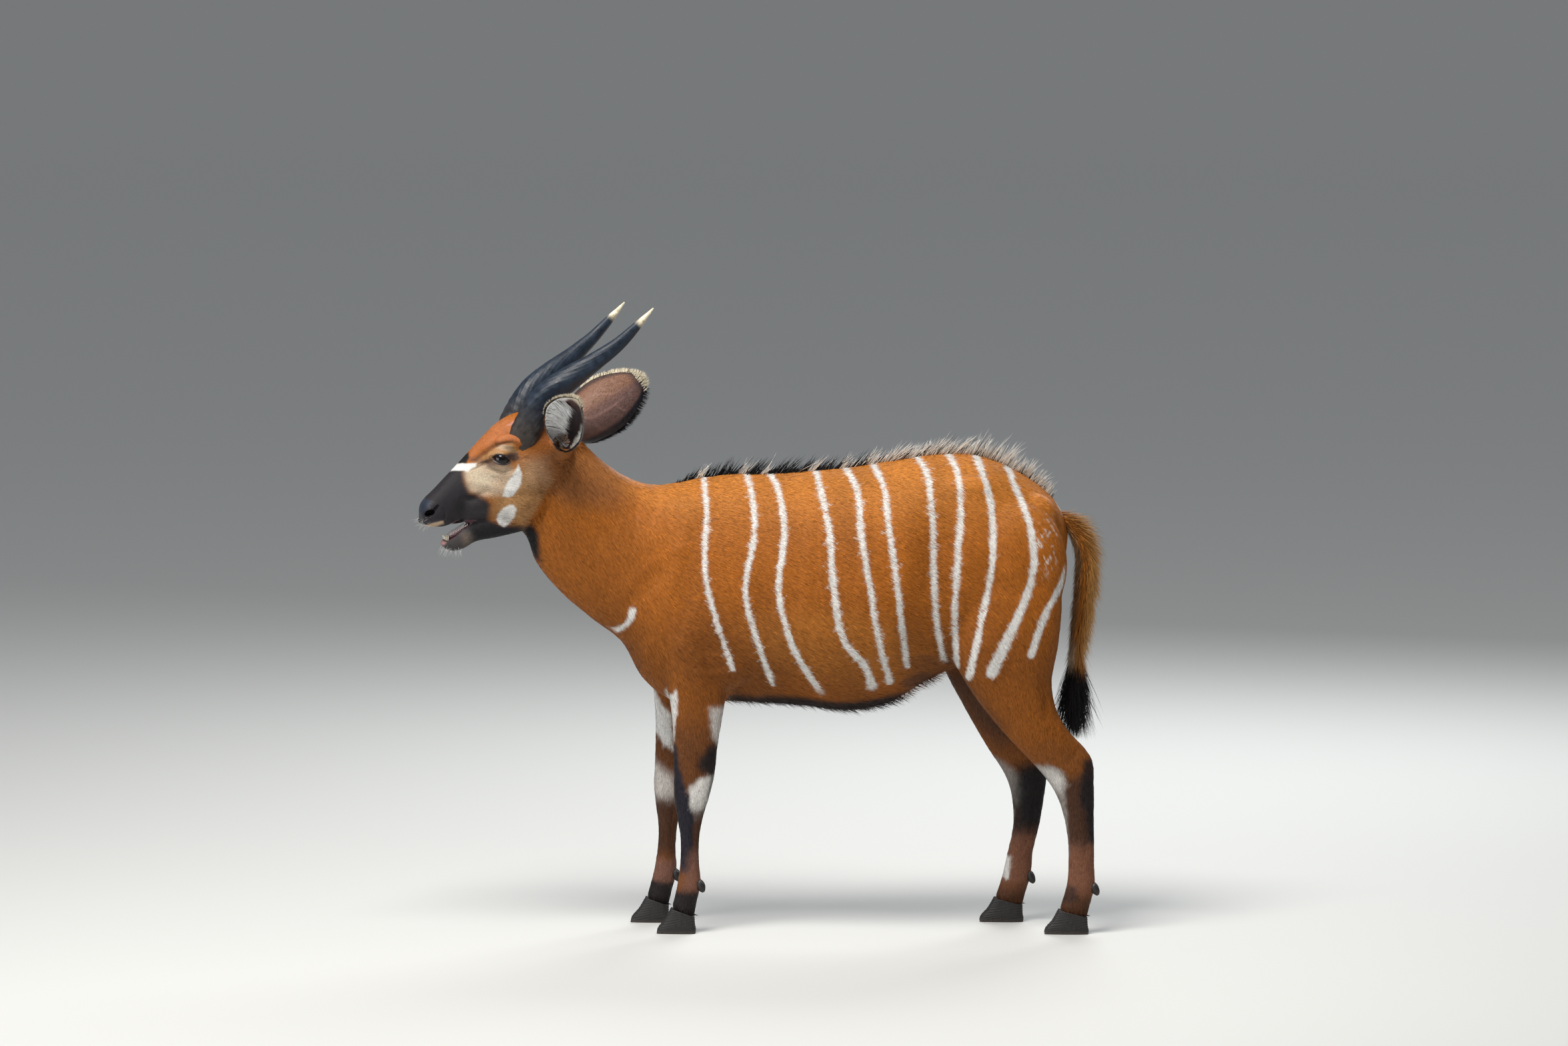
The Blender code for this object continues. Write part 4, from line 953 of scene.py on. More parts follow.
# The short coat is made of flat, pointed tufts rooted in the skin, each for many hairs. They lie
# from nose to tail and down the legs, and are longest on the belly and shortest on the face.
TUFT_COUNT = 300000
TUFT_DEPTH = 0.22
TUFT_SUNK = 0.0004
TUFT_LIFT = (0.085, 0.022)
# Tufts are painted darker at the root and lighter at the tip: painted shade and light for the coat's depth
ROOT_PAINTED_SHADE, TIP_PAINTED_LIGHT = 0.60, 1.15
CORONET_TOP = 0.072
BAKE_PATCH = 0.003
FACE_LINE = np.array(((-0.5, 0.0, 1.0), (0.45, 0.0, 1.0)))


def lie_of(points, normals, on_skull):
    """The way that the coat lies at points of the skin: a mix of the directions of the trunk,
    neck, haunch, legs and head, with small swirls, laid into the surface."""
    x, z = points[:, 0], points[:, 2]
    neck = softened((-0.10 - x) / 0.18)
    haunch = step(x, 0.46, 0.62) * step(z, 1.02, 0.92)
    ends = np.maximum(step(x, 0.06, -0.02), step(x, 0.42, 0.5))
    leg = step(z, 0.66, 0.52) * ends
    lie = laid((1.0, 0.0, -0.55), (0.58, 0.0, -0.80), neck)
    lie = laid(lie, (0.50, 0.0, -0.86), haunch)
    lie = laid(lie, (0.10, 0.0, -1.0), leg)
    level = levelled(points)
    face = unit(np.diff(on_head(FACE_LINE), axis=0))[0]
    high = softened((level[:, 2] - 1.06 - (level[:, 0] + 0.65) * 0.5) / 0.06)
    toward = face + np.array((0.0, 0.0, 1.0)) * (0.62 * high - 0.35 * (1 - high))[:, None]
    lie = np.where(on_skull[:, None], toward, lie)
    swirl = np.stack([waves(points, 0.14, seed) for seed in (11, 12, 13)], axis=1)
    lie = unit(lie) + 0.07 * swirl
    return unit(lie - normals * (lie * normals).sum(axis=1)[:, None])


def bend_along(points, faces, normals, lie):
    """How much the surface bends along the lie at each point, as 1 over its radius, above zero
    where it is rounded outwards: a mean over the edges at the point, each weighted by how it
    follows the lie, then twice averaged with the neighbours."""
    start = np.concatenate([faces[:, 0], faces[:, 1], faces[:, 2]])
    end = np.concatenate([faces[:, 1], faces[:, 2], faces[:, 0]])
    run = points[end] - points[start]
    length = np.maximum((run**2).sum(axis=1), 1e-10)
    each = ((normals[end] - normals[start]) * run).sum(axis=1) / length
    weight = (run * lie[start]).sum(axis=1) ** 2 / length + 1e-6
    bend = np.bincount(start, weight * each, len(points)) / np.bincount(start, weight, len(points))
    degree = np.bincount(start, minlength=len(points)) + 1
    for _ in range(2):
        bend = (bend + np.bincount(start, bend[end], len(points))) / degree
    return bend


def scattered(points, faces, density, count, seed):
    """Random places on a surface, by area times a density at its points: for each the corners of
    its triangle and its share of each corner."""
    a, b, c = (points[faces[:, i]] for i in range(3))
    weight = np.linalg.norm(np.cross(b - a, c - a), axis=1) * density[faces].mean(axis=1)
    draw = np.random.default_rng(seed)
    total = np.cumsum(weight)
    spaced = (np.arange(count) + draw.uniform(0, 1, count)) / count * total[-1]
    chosen = faces[np.searchsorted(total, spaced)]
    u, v = draw.uniform(0, 1, (2, count))
    flip = u + v > 1
    u, v = np.where(flip, 1 - u, u), np.where(flip, 1 - v, v)
    return chosen, np.stack([1 - u - v, u, v], axis=1)


def at_roots(values, roots):
    """Values at a surface's points, read at scattered places."""
    corners, shares = roots
    if values.ndim == 1:
        return (values[corners] * shares).sum(axis=1)
    return (values[corners] * shares[:, :, None]).sum(axis=1)


def rooted(points, faces, normals, density, count, seed):
    """Random roots on a surface and its unit normals there."""
    spots = scattered(points, faces, density, count, seed)
    return at_roots(points, spots), unit(at_roots(normals, spots))


def strands(roots, lie, face, length, width, depth, droop, rings):
    """Closed, pointed hairs or tufts. Each runs from its root along its lie, bends towards its
    face by the droop times the square of the way, and has a flat triangle for a section, that
    narrows as 1 - u^1.6 to one point."""
    across = unit(np.cross(lie, face))
    face = np.cross(across, lie)
    u = np.arange(rings) / rings
    taper = 1 - u**1.6
    sections = ((0.5, 0.0), (-0.5, 0.0), (0.0, 1.0))
    length, width, depth, droop = (
        np.broadcast_to(value, len(roots))[:, None] for value in (length, width, depth, droop)
    )
    middle = roots[:, None] + lie[:, None] * (length * u)[:, :, None]
    middle = middle + face[:, None] * (droop * length * u**2)[:, :, None]
    rows = [
        middle
        + across[:, None] * (width * taper * aside)[:, :, None]
        + face[:, None] * (depth * taper * rise)[:, :, None]
        for aside, rise in sections
    ]
    tip = roots + lie * length + face * (droop * length)
    points = np.concatenate([np.stack(rows, axis=2).reshape(len(roots), -1, 3), tip[:, None]], axis=1)
    last = 3 * (rings - 1) + np.arange(3)
    ends = np.stack([last, np.roll(last, -1), np.full(3, 3 * rings)], axis=1)
    template = np.vstack([grid_faces(rings, 3), ends, [[0, 2, 1]]])
    sample = points[0] - points[0].mean(axis=0)
    faces = outward(sample, template)[None] + (np.arange(len(roots)) * (3 * rings + 1))[:, None, None]
    return points, faces, np.append(np.repeat(u, 3), 1.0)


def hair_piece(name, roots, lie, face, sizes, colours, unwrap, droop=0.0, rings=1, soft=False, sunk=0.0):
    """One piece of coat from its roots, which lie sunk in the skin: sizes are lengths, widths and
    depths, colours are those of the root and the tip, and unwrap is the axis that the roots are
    laid out round. Soft hair is shaded with the way that it faces, so that it looks as even as
    the skin under it."""
    spread = round_axis(roots, *unwrap)
    points, faces, share = strands(roots - sunk, lie, face, *sizes, droop, rings)
    each = points.shape[1]
    thing = piece(name, points.reshape(-1, 3), faces.reshape(-1, 3), COAT, smooth=False)
    if soft:
        thing.data.shade_smooth()
        layer = thing.data.attributes.new("custom_normal", "FLOAT_VECTOR", "POINT")
        layer.data.foreach_set("vector", np.repeat(unit(face), each, axis=0).astype(np.float32).ravel())
    mix = share[None, :, None]
    colour = colours[0][:, None] * (1 - mix) + colours[1][:, None] * mix
    coloured(thing, "coat", colour.reshape(-1, 3))
    offset = np.stack([np.tile((0.0, 1.0, 0.5), (each + 2) // 3)[:each], share], axis=1)
    uv = (spread[:, None] + offset[None] * BAKE_PATCH).reshape(-1, 2)
    layer = thing.data.uv_layers.new(name="OFBake")
    layer.data.foreach_set("uv", uv[faces.reshape(-1)].astype(np.float32).ravel())


def round_axis(points, centre, axis, start, end):
    """An unwrap round an axis: the share of the way along it, and the turn round it."""
    axis = np.array(axis, float) / np.linalg.norm(axis)
    off = points - np.array(centre)
    side = np.cross(axis, (0.0, 1.0, 0.0))
    turn = np.arctan2(off[:, 1], off @ side) / (2 * np.pi) + 0.5
    return np.stack([(off @ axis - start) / (end - start), turn], axis=1) * 0.98 + 0.01


COAT, tree, shader = finish_of("coat", Roughness=0.55, Specular_IOR_Level=0.15)
shader.inputs["Sheen Weight"].default_value = 0.02
hairs = noise_of(tree, 1600.0, 2.0)
grained(tree, shader, "coat", hairs, (0.3, 0.7), (0.85, 1.15))
bumped(tree, shader, hairs, 0.0003)


def tuft_sizes(points, normals, on_skull):
    """Length and width of the tufts at points of the skin, in metres, and how many there are
    for each square metre, compared with the trunk."""
    leg = step(points[:, 2], 0.56, 0.36) * ~on_skull
    foot = step(points[:, 2], 0.2, 0.08) * ~on_skull
    belly = step(-normals[:, 2], 0.6, 0.9) * (points[:, 2] > 0.5) * ~on_skull
    muzzle = softened((-0.64 - levelled(points)[:, 0]) / 0.10) * on_skull
    skull = softened(ahead_of(points, NECK_CUT) / 0.08)
    coronet = softened((CORONET_TOP - points[:, 2]) / 0.014) * ~on_skull
    length = 0.0120 - 0.002 * leg - 0.003 * foot + 0.008 * belly + 0.010 * coronet
    width = 0.0020 - 0.0004 * leg - 0.0002 * foot
    length += (0.0065 - 0.0030 * muzzle - length) * skull
    width += (0.00125 - 0.0003 * muzzle - width) * skull
    density = 1.0 + 0.7 * leg + 1.5 * coronet + 2.2 * skull + 1.0 * muzzle
    return length, width, density


density = tuft_sizes(skin_points, skin_normals, skull)[2] * ~bare
spots = scattered(skin_points, skin_faces, density, TUFT_COUNT, 21)
roots, root_normals = at_roots(skin_points, spots), unit(at_roots(skin_normals, spots))
skin_lie = lie_of(skin_points, skin_normals, skull)
bend = at_roots(bend_along(skin_points, skin_faces, skin_normals, skin_lie), spots)
bend *= softened((roots[:, 2] - CORONET_TOP) / 0.01)
rooted_on_skull = ahead_of(roots, NECK_CUT) > 0
lengths, widths, _ = tuft_sizes(roots, root_normals, rooted_on_skull)
draw = np.random.default_rng(22)
lengths = lengths * draw.uniform(0.72, 1.2, TUFT_COUNT)
widths = widths * draw.uniform(0.7, 1.2, TUFT_COUNT)
lie = lie_of(roots, root_normals, rooted_on_skull)
aside = np.cross(root_normals, lie)
lie = lie + aside * draw.normal(0, 0.045, TUFT_COUNT)[:, None]
lift = draw.normal(*TUFT_LIFT, TUFT_COUNT) + TUFT_SUNK / lengths - 0.5 * bend * lengths
lift = np.clip(lift, -0.3, 0.7)
lie = unit(lie * np.cos(lift)[:, None] + root_normals * np.sin(lift)[:, None])
strand_face = root_normals + aside * draw.normal(0, 0.24, TUFT_COUNT)[:, None]
base_tint, tip_tint = (
    coat_colour(roots + lie * (share * lengths)[:, None], root_normals, rooted_on_skull)
    for share in (0.20, 0.65)
)
grade = np.exp(draw.normal(0.02, 0.24, TUFT_COUNT) + 0.05 * waves(roots, 0.03, 23))[:, None]
# Painted shade at each tuft's root and painted light at its tip
root_tint, tip_tint = base_tint * grade * ROOT_PAINTED_SHADE, np.clip(tip_tint * grade * TIP_PAINTED_LIGHT, 0, 1)
roots = roots - root_normals * TUFT_SUNK

fore_leg = ~rooted_on_skull & (roots[:, 2] < 0.58) & (roots[:, 0] < 0.02)
hind_leg = ~rooted_on_skull & (roots[:, 2] < 0.60) & (roots[:, 0] > 0.36)
trunk = ~(rooted_on_skull | fore_leg | hind_leg)
left, left_cheek = roots[:, 1] < 0, levelled(roots)[:, 1] < 0
NECK_AXIS, TRUNK_AXIS, HEAD_AXIS = (0.8, 0.0, -0.6), (1.0, 0.0, 0.0), (0.85, 0.0, 0.5)
FACE_UNWRAP = ((-0.6, -0.1, 1.06), HEAD_AXIS, -0.3, 0.3)
TRUNK_MIDST = (0.0, 0.0, 0.8)


def trunk_part(start, end):
    """The tufts of the trunk between two places along it, and their unwrap."""
    here = trunk & (roots[:, 0] >= start) & (roots[:, 0] < end)
    return here, (TRUNK_MIDST, TRUNK_AXIS, start - 0.01, end + 0.01)


def leg_part(here, x, y, slope):
    """The tufts of a leg and their unwrap."""
    return here, ((x, y, 0.0), (slope, 0.0, 1.0), 0.0, 0.65)


COAT_PIECES = {
    "coat_face_left": (rooted_on_skull & left_cheek, FACE_UNWRAP),
    "coat_face_right": (rooted_on_skull & ~left_cheek, FACE_UNWRAP),
    "coat_neck": (trunk & (roots[:, 0] < -0.20), ((-0.4, -0.03, 0.95), NECK_AXIS, -0.3, 0.5)),
    "coat_shoulder": trunk_part(-0.20, 0.02),
    "coat_ribs": trunk_part(0.02, 0.24),
    "coat_loin": trunk_part(0.24, 0.46),
    "coat_rump": trunk_part(0.46, 0.75),
    "coat_left_foreleg": leg_part(fore_leg & left, -0.16, -0.094, 0.05),
    "coat_right_foreleg": leg_part(fore_leg & ~left, -0.20, 0.094, 0.05),
    "coat_left_hindleg": leg_part(hind_leg & left, 0.68, -0.102, -0.05),
    "coat_right_hindleg": leg_part(hind_leg & ~left, 0.60, 0.102, -0.05),
}
for name, (here, unwrap) in COAT_PIECES.items():
    sizes = (lengths[here], widths[here], widths[here] * TUFT_DEPTH)
    tints = (root_tint[here], tip_tint[here])
    hair_piece(name, roots[here], lie[here], strand_face[here], sizes, tints, unwrap, soft=True)

# The crest: a narrow row of upright hair along the spine, raked to the tail. It is black in front
# with white tufts where the stripes cross it, and from the middle of the back mostly white.
# Places along the back with the crest's height, and with its rake in degrees
CREST_REACH = ((-194, 10), (-150, 44), (5, 46), (350, 46), (460, 54), (560, 56), (640, 40), (705, 18))
CREST_RAKE = ((-194, 34), (300, 40), (500, 36), (620, 34), (705, 42))
CREST_COUNT = 1900
CREST_TURN = 190
CREST_SUNK = 0.004
CREST_WIDTH = 0.0055

draw = np.random.default_rng(31)
x, y = skin_points[:, 0] / MM, skin_points[:, 1]
ridge = np.exp(-((y / CREST_WIDTH) ** 2)) * step(skin_normals[:, 2], 0.6, 0.8)
density = ridge * step(x, -200, -170) * step(x, 712, 682) * (skin_points[:, 2] > 0.9)
density *= 0.55 + 0.45 * softened((x - CREST_TURN) / 200)
spots = scattered(skin_points, skin_faces, density, CREST_COUNT, 32)
roots = at_roots(skin_points, spots)
x = roots[:, 0] / MM
clump = waves(roots * (1, 0.1, 0.1), 0.016, 33)
reach = np.interp(x, *zip(*CREST_REACH)) * MM * (0.25 + 0.80 * draw.uniform(0, 1, CREST_COUNT) ** 1.4)
reach *= 0.86 + 0.26 * waves(roots * (1, 0.1, 0.1), 0.013, 35)
rake = np.radians(np.interp(x, *zip(*CREST_RAKE)) + 13 * clump + draw.normal(0, 6, CREST_COUNT))
lean = np.radians(draw.normal(0, 9, CREST_COUNT) + 7 * waves(roots, 0.03, 34))
lie = unit(np.stack([np.sin(rake), np.sin(lean), np.cos(rake)], axis=1))
stripe_tops = np.array([line[0][0] for _, _, line in STRIPES[:-1]])
at_stripe = softened(1.5 - np.abs(x[:, None] + 8 - stripe_tops).min(axis=1) / 9)
pale = np.maximum(at_stripe, softened((x - CREST_TURN + draw.normal(0, 60, CREST_COUNT)) / 90) * 0.85)
pale = (draw.uniform(0, 1, CREST_COUNT) < pale).astype(float)
tips = laid(BLACK, WHITE, pale)
tips *= np.exp(draw.normal(0.05, 0.22, CREST_COUNT))[:, None]
bases = laid(BLACK, BEIGE, pale)
sizes = (reach / np.cos(rake) + CREST_SUNK, 0.0016, 0.0007)
aside = np.stack([draw.normal(0, 0.4, CREST_COUNT), np.ones(CREST_COUNT), 0 * x], axis=1)
tints = (bases, np.clip(tips, 0, 1))
bow = draw.normal(0, 0.12, CREST_COUNT)
unwrap = (TRUNK_MIDST, TRUNK_AXIS, -0.25, 0.75)
hair_piece("crest", roots, lie, aside, sizes, tints, unwrap, bow, rings=4, sunk=lie * CREST_SUNK)

# The belly's fringe is black hair along the middle of the belly.
FRINGE_COUNT = 1800
FRINGE_SUNK = 0.002
FRINGE_WIDTH = 0.07

draw = np.random.default_rng(42)
x, z = skin_points[:, 0], skin_points[:, 2]
under = step(-skin_normals[:, 2], 0.75, 0.9) * (z > 0.48)
under *= np.exp(-((skin_points[:, 1] / FRINGE_WIDTH) ** 2))
density = under * step(x, -0.1, -0.05) * step(x, 0.44, 0.39)
roots, normals = rooted(skin_points, skin_faces, skin_normals, density, FRINGE_COUNT, 41)
lie = unit(np.array((0.80, 0.0, -0.42)) + draw.normal(0, 0.14, (FRINGE_COUNT, 3)))
tint = coat_colour(roots, normals, np.zeros(FRINGE_COUNT, bool))
tint *= np.exp(draw.normal(0, 0.25, FRINGE_COUNT))[:, None]
sizes = (draw.uniform(0.018, 0.036, FRINGE_COUNT), 0.0018, 0.0006)
bow = draw.normal(-0.1, 0.08, FRINGE_COUNT)
unwrap = (TRUNK_MIDST, TRUNK_AXIS, -0.2, 0.5)
# Each hair is painted darker at its root: painted shade in the depth of the fringe
hair_piece("belly_fringe", roots, lie, normals, sizes, (tint * 0.7, tint), unwrap, bow, rings=3,
           sunk=normals * FRINGE_SUNK)

# The whiskers are stiff pale hairs on the upper lip and the chin: for each group its place on the
# level head, its extent in millimetres and the way that it points.
WHISKER_SPOTS = [
    ((-790, 20, 968), (12, 10, 8), (-0.75, 0.45, -0.45)),
    ((-742, 12, 902), (14, 8, 6), (-0.45, 0.30, -0.85)),
    ((-715, 14, 898), (16, 8, 6), (-0.10, 0.35, -0.95)),
]
WHISKERS_EACH = 16
WHISKER_SUNK = 0.001

draw = np.random.default_rng(43)
hide_tree = BVHTree.FromPolygons(skin_points.tolist(), skin_faces.tolist())
roots, lies, normals = [], [], []
for centre, extent, way in WHISKER_SPOTS:
    for side in (-1, 1):
        spots = (np.array(centre) + draw.uniform(-1, 1, (WHISKERS_EACH, 3)) * extent) * MM
        ways = np.array(way) + draw.normal(0, 0.22, (WHISKERS_EACH, 3))
        lies.append(on_head(spots + ways, side) - on_head(spots, side))
        for spot in on_head(spots, side):
            where, normal, _, _ = hide_tree.find_nearest(spot.tolist())
            roots.append(where)
            normals.append(normal)
roots, normals, lie = np.array(roots), np.array(normals), unit(np.vstack(lies))
sizes = (draw.uniform(0.012, 0.030, len(roots)), 0.00032, 0.0003)
tint = np.tile(np.array(WHITE), (len(roots), 1))
bow = draw.normal(0, 0.12, len(roots))
# Each whisker is painted darker at its root: painted shade
hair_piece("whiskers", roots, lie, normals, sizes, (tint * 0.8, tint), FACE_UNWRAP, bow, rings=4,
           sunk=lie * WHISKER_SUNK)

# The tail hangs from the rump: a bare core under fluffy hair, orange behind and grey-brown on the
# inner side, with a long black tuft at its end.
# Rows: x, z and half width of the tail with its hair
TAIL = [
    (690, 966, 20), (720, 945, 24), (744, 915, 26), (757, 878, 27), (758, 830, 27), (751, 750, 25),
    (742, 680, 22), (736, 620, 21), (735, 570, 20), (737, 520, 11),
]
TAIL_FLATNESS = 0.8
TAIL_HAIR = 0.012
TAIL_COUNT = 5600
TUFT_STRANDS = 1800
TUFT_END = 0.445
TUFT_UPPER = 0.635
TAIL_GREY = (0.20, 0.13, 0.07)


def swept(path, radii, sides, flatness, relief=0.0):
    """A tapered tube along a path, flattened in y, with a relief added to its radius."""
    along = unit(np.gradient(path, axis=0))
    ahead = unit(np.cross(along, (0.0, 1.0, 0.0)))
    aside = np.cross(ahead, along)
    angle = np.linspace(0.0, 2 * np.pi, sides, endpoint=False)[None, :]
    reach = radii[:, None] * np.ones_like(angle) + relief
    forward = (reach * np.cos(angle))[:, :, None] * ahead[:, None]
    sideways = (reach * flatness * np.sin(angle))[:, :, None] * aside[:, None]
    return tube(path[:, None] + forward + sideways)


def tail_colour(points, normals):
    """Orange behind and at the sides, grey-brown to cream ahead, and black towards the end."""
    inner = step(-normals[:, 0], 0.1, 0.6)
    colour = laid(np.array(ORANGE) * 0.8, TAIL_GREY, inner * 0.8)
    low = step(points[:, 2], 0.7, 0.63)
    colour = laid(colour, CREAM, 0.55 * step(normals[:, 0], 0.5, -0.3) * low)
    return laid(colour, BLACK, softened((TUFT_UPPER - points[:, 2]) / 0.04))


table = curve_through(TAIL, 90) * MM
path = np.column_stack([table[:, 0], np.zeros(len(table)), table[:, 1]])
core_points, core_faces = swept(path, np.maximum(table[:, 2] - TAIL_HAIR, 0.003), 32, TAIL_FLATNESS)
core_normals = normals_of(core_points, core_faces)
tail = piece("tail_core", core_points, core_faces, HIDE)
coloured(tail, "coat", tail_colour(core_points, core_normals))
coloured(tail, "bare", 0.0)
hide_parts("tail")

draw = np.random.default_rng(51)
roots, normals = rooted(core_points, core_faces, core_normals, np.ones(len(core_points)), TAIL_COUNT, 52)
slope = np.interp(roots[:, 2], table[::-1, 1], np.gradient(table[::-1, 0], table[::-1, 1]))
down = np.stack([-slope + 0.9 * step(roots[:, 2], 0.9, 0.96), 0 * slope, 0 * slope - 1], axis=1)
behind = softened(normals[:, 0] / 0.6)
lie = unit(down) + normals * (draw.uniform(0.30, 0.70, TAIL_COUNT) + 0.35 * behind)[:, None]
lie = unit(lie + draw.normal(0, 0.08, (TAIL_COUNT, 3)) + 0.08 * waves(roots, 0.03, 57)[:, None])
tint = tail_colour(roots + lie * 0.012, normals) * np.exp(draw.normal(0, 0.18, TAIL_COUNT))[:, None]
sizes = (draw.uniform(0.024, 0.042, TAIL_COUNT) * (1 + 0.5 * behind), 0.0017, 0.0006)
golden = 0.9 * behind * step(roots[:, 2], 0.62, 0.68)
# Each hair is painted darker at its root and lighter at its tip: painted shade and light in the depth of
# the tail's hair
tints = (tint * 0.7, laid(np.clip(tint * 1.2, 0, 1), STRAW, golden))
bow = draw.normal(-0.20, 0.08, TAIL_COUNT)
unwrap = ((0.745, 0, 0.5), (0, 0, 1), 0.0, 0.5)
hair_piece("tail_hair", roots, lie, normals, sizes, tints, unwrap, bow, rings=2)

density = step(core_points[:, 2], 0.64, 0.62)
roots, normals = rooted(core_points, core_faces, core_normals, density, TUFT_STRANDS, 53)
lie = (0.0, 0.0, -1.0) + normals * draw.uniform(0.08, 0.62, TUFT_STRANDS)[:, None] * (1.0, 0.6, 0.0)
lie += draw.normal(0, 0.06, (TUFT_STRANDS, 3))
lie = unit(lie + 0.10 * np.stack([waves(roots, 0.03, seed) for seed in (54, 55, 56)], axis=1))
tint = np.array(BLACK) * 1.3 * np.exp(draw.normal(0, 0.3, TUFT_STRANDS))[:, None]
reach = draw.uniform(0.060, 0.150, TUFT_STRANDS)
reach = np.minimum(reach, (roots[:, 2] - TUFT_END) / np.maximum(-lie[:, 2], 0.5))
bow = draw.normal(-0.16, 0.05, TUFT_STRANDS)
unwrap = ((0.745, 0, 0.45), (0, 0, 1), 0.0, 0.25)
sizes = (reach, 0.0016, 0.0007)
# The tuft's hairs are painted lighter at their tips: painted light on the outside of the tuft
hair_piece("tail_tuft", roots, lie, normals, sizes, (tint, tint * 1.5), unwrap, bow, rings=5)

# The horns are hollow sheaths of horn in a loose spiral, with one keel, fine grooves along them,
# worn rings and pits near the base, and ivory tips.
# Rows of the left horn, mirrored: x, y and z on the level head, and half width
HORN_PATH = [
    (-574, 40, 1128, 26), (-561, 44, 1160, 34), (-541, 48, 1205, 35), (-511, 56, 1252, 33),
    (-459, 68, 1293, 29), (-402, 82, 1332, 21.5), (-348, 94, 1373, 15), (-306, 100, 1413, 9.5),
    (-266, 103, 1453, 1.6),
]
HORN_FLATNESS = 0.74
HORN_KEEL = 0.16
HORN_TWIST = math.radians(200)
HORN_RINGS, HORN_SIDES = 200, 64
# The horn's near-black colour is tinted blue: a painted reflection of the sky. It is brown near the base
# and ivory at the tips
HORN_SKY_TINTED_BLACK, HORN_BROWN, HORN_IVORY = (0.010, 0.018, 0.032), (0.034, 0.027, 0.023), (0.74, 0.66, 0.48)

u = np.linspace(0, 1, HORN_RINGS)[:, None]
table = curve_through(HORN_PATH, HORN_RINGS) * MM
path, radii = table[:, :3], table[:, 3]
angle = np.linspace(0, 2 * np.pi, HORN_SIDES, endpoint=False)[None, :]
off = (angle - HORN_TWIST * u + np.pi) % (2 * np.pi) - np.pi
keel = HORN_KEEL * np.exp(-((off / 0.45) ** 2))
grooves = 0.010 * np.sin(off * 19 + 3 * np.sin(u * 9)) + 0.008 * np.sin(off * 31 + 1.0)
worn = 0.016 * np.sin(u * 150 + 1.2 * np.sin(off * 2)) * np.exp(-((u / 0.30) ** 2))
relief = radii[:, None] * (keel + grooves * step(u, 0.95, 0.75) + worn)
horn_points, horn_faces = swept(path, radii, HORN_SIDES, HORN_FLATNESS, relief)
way = np.concatenate([np.repeat(u[:, 0], HORN_SIDES), [0.0, 1.0]])
HORN, tree, shader = finish_of("horn", Roughness=0.40, Specular_IOR_Level=0.34)
fine = noise_of(tree, 60.0, 8.0, Roughness=0.7)
grained(tree, shader, "horn", fine, (0.35, 0.68), (0.55, 1.5))
pits = node(tree, "ShaderNodeTexVoronoi", {"Vector": object_place(tree), "Scale": 190.0})
height = {0: pits.outputs["Distance"], 1: 0.18, 2: fine}
bumped(tree, shader, node(tree, "ShaderNodeMath", height, operation="MULTIPLY_ADD").outputs[0], 0.0007)
roughened(tree, shader, fine, (0.3, 0.7), (0.34, 0.58))
colour = laid(HORN_SKY_TINTED_BLACK, HORN_BROWN, step(way, 0.3, 0.06))
colour = laid(colour, HORN_IVORY, step(way, 0.873, 0.908))
for side, name in ((-1, "left"), (1, "right")):
    horn = piece(f"{name}_horn_sheath", *headed((horn_points, horn_faces), side), HORN)
    coloured(horn, "horn", colour)
    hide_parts(f"{name}_horn")

# The ears are cups of thin gristle under short hair, veined behind and rolled like a leaf. Longer
# hair fringes each edge, and white hair crosses the cup from its front edge.
# Root and tip on the level head, the way that the cup opens, how strongly it curls, and which of
# its edges is the rear one
EARS = {
    "left": {
        "root": (-466, -46, 1138),
        "tip": (-500, -246, 1257),
        "opens": (-0.84, -0.28, -0.48),
        "curl": 1.15,
        "rear": 1,
    },
    "right": {
        "root": (-466, 46, 1138),
        "tip": (-238, 50, 1279),
        "opens": (0.35, 0.93, -0.1),
        "curl": 0.75,
        "rear": -1,
    },
}
# Along the ear: width in millimetres, curl in degrees and wall in millimetres
EAR_SPREAD = ((0.0, 34), (0.15, 50), (0.35, 70), (0.6, 73), (0.8, 54), (0.93, 28), (1.0, 6))
EAR_CURL = ((0.0, 168), (0.15, 140), (0.35, 88), (0.6, 66), (0.85, 48), (1.0, 30))
EAR_WALL = ((0.0, 5.0), (0.2, 3.2), (0.6, 2.2), (1.0, 1.6))
EAR_BOW = 0.012
EAR_ROWS, EAR_COLUMNS = 90, 54
EAR_VIEW = np.array((250.0, 70.0))
EAR_BROWN, EAR_RED, EAR_VEIN = (0.150, 0.085, 0.075), (0.205, 0.088, 0.042), (0.30, 0.17, 0.14)
# The cup's dark skin, and the near black of its depth, painted as shade in the hollow
EAR_CUP, EAR_HOLLOW_SHADE = (0.060, 0.022, 0.022), (0.010, 0.004, 0.005)
# Veins of the back: a line in millimetres along the ear and towards its rear edge, width and rise
EAR_VEINS = [
    ([(67, -17), (100, 8), (141, 13), (160, 14), (190, 13)], 2.6, 1.0),
    ([(100, 8), (105, 38), (135, 60)], 2.0, 0.7),
    ([(160, 14), (178, 49)], 2.0, 0.7),
    ([(108, -38), (140, -28), (168, -10), (202, -8)], 1.8, 0.6),
]
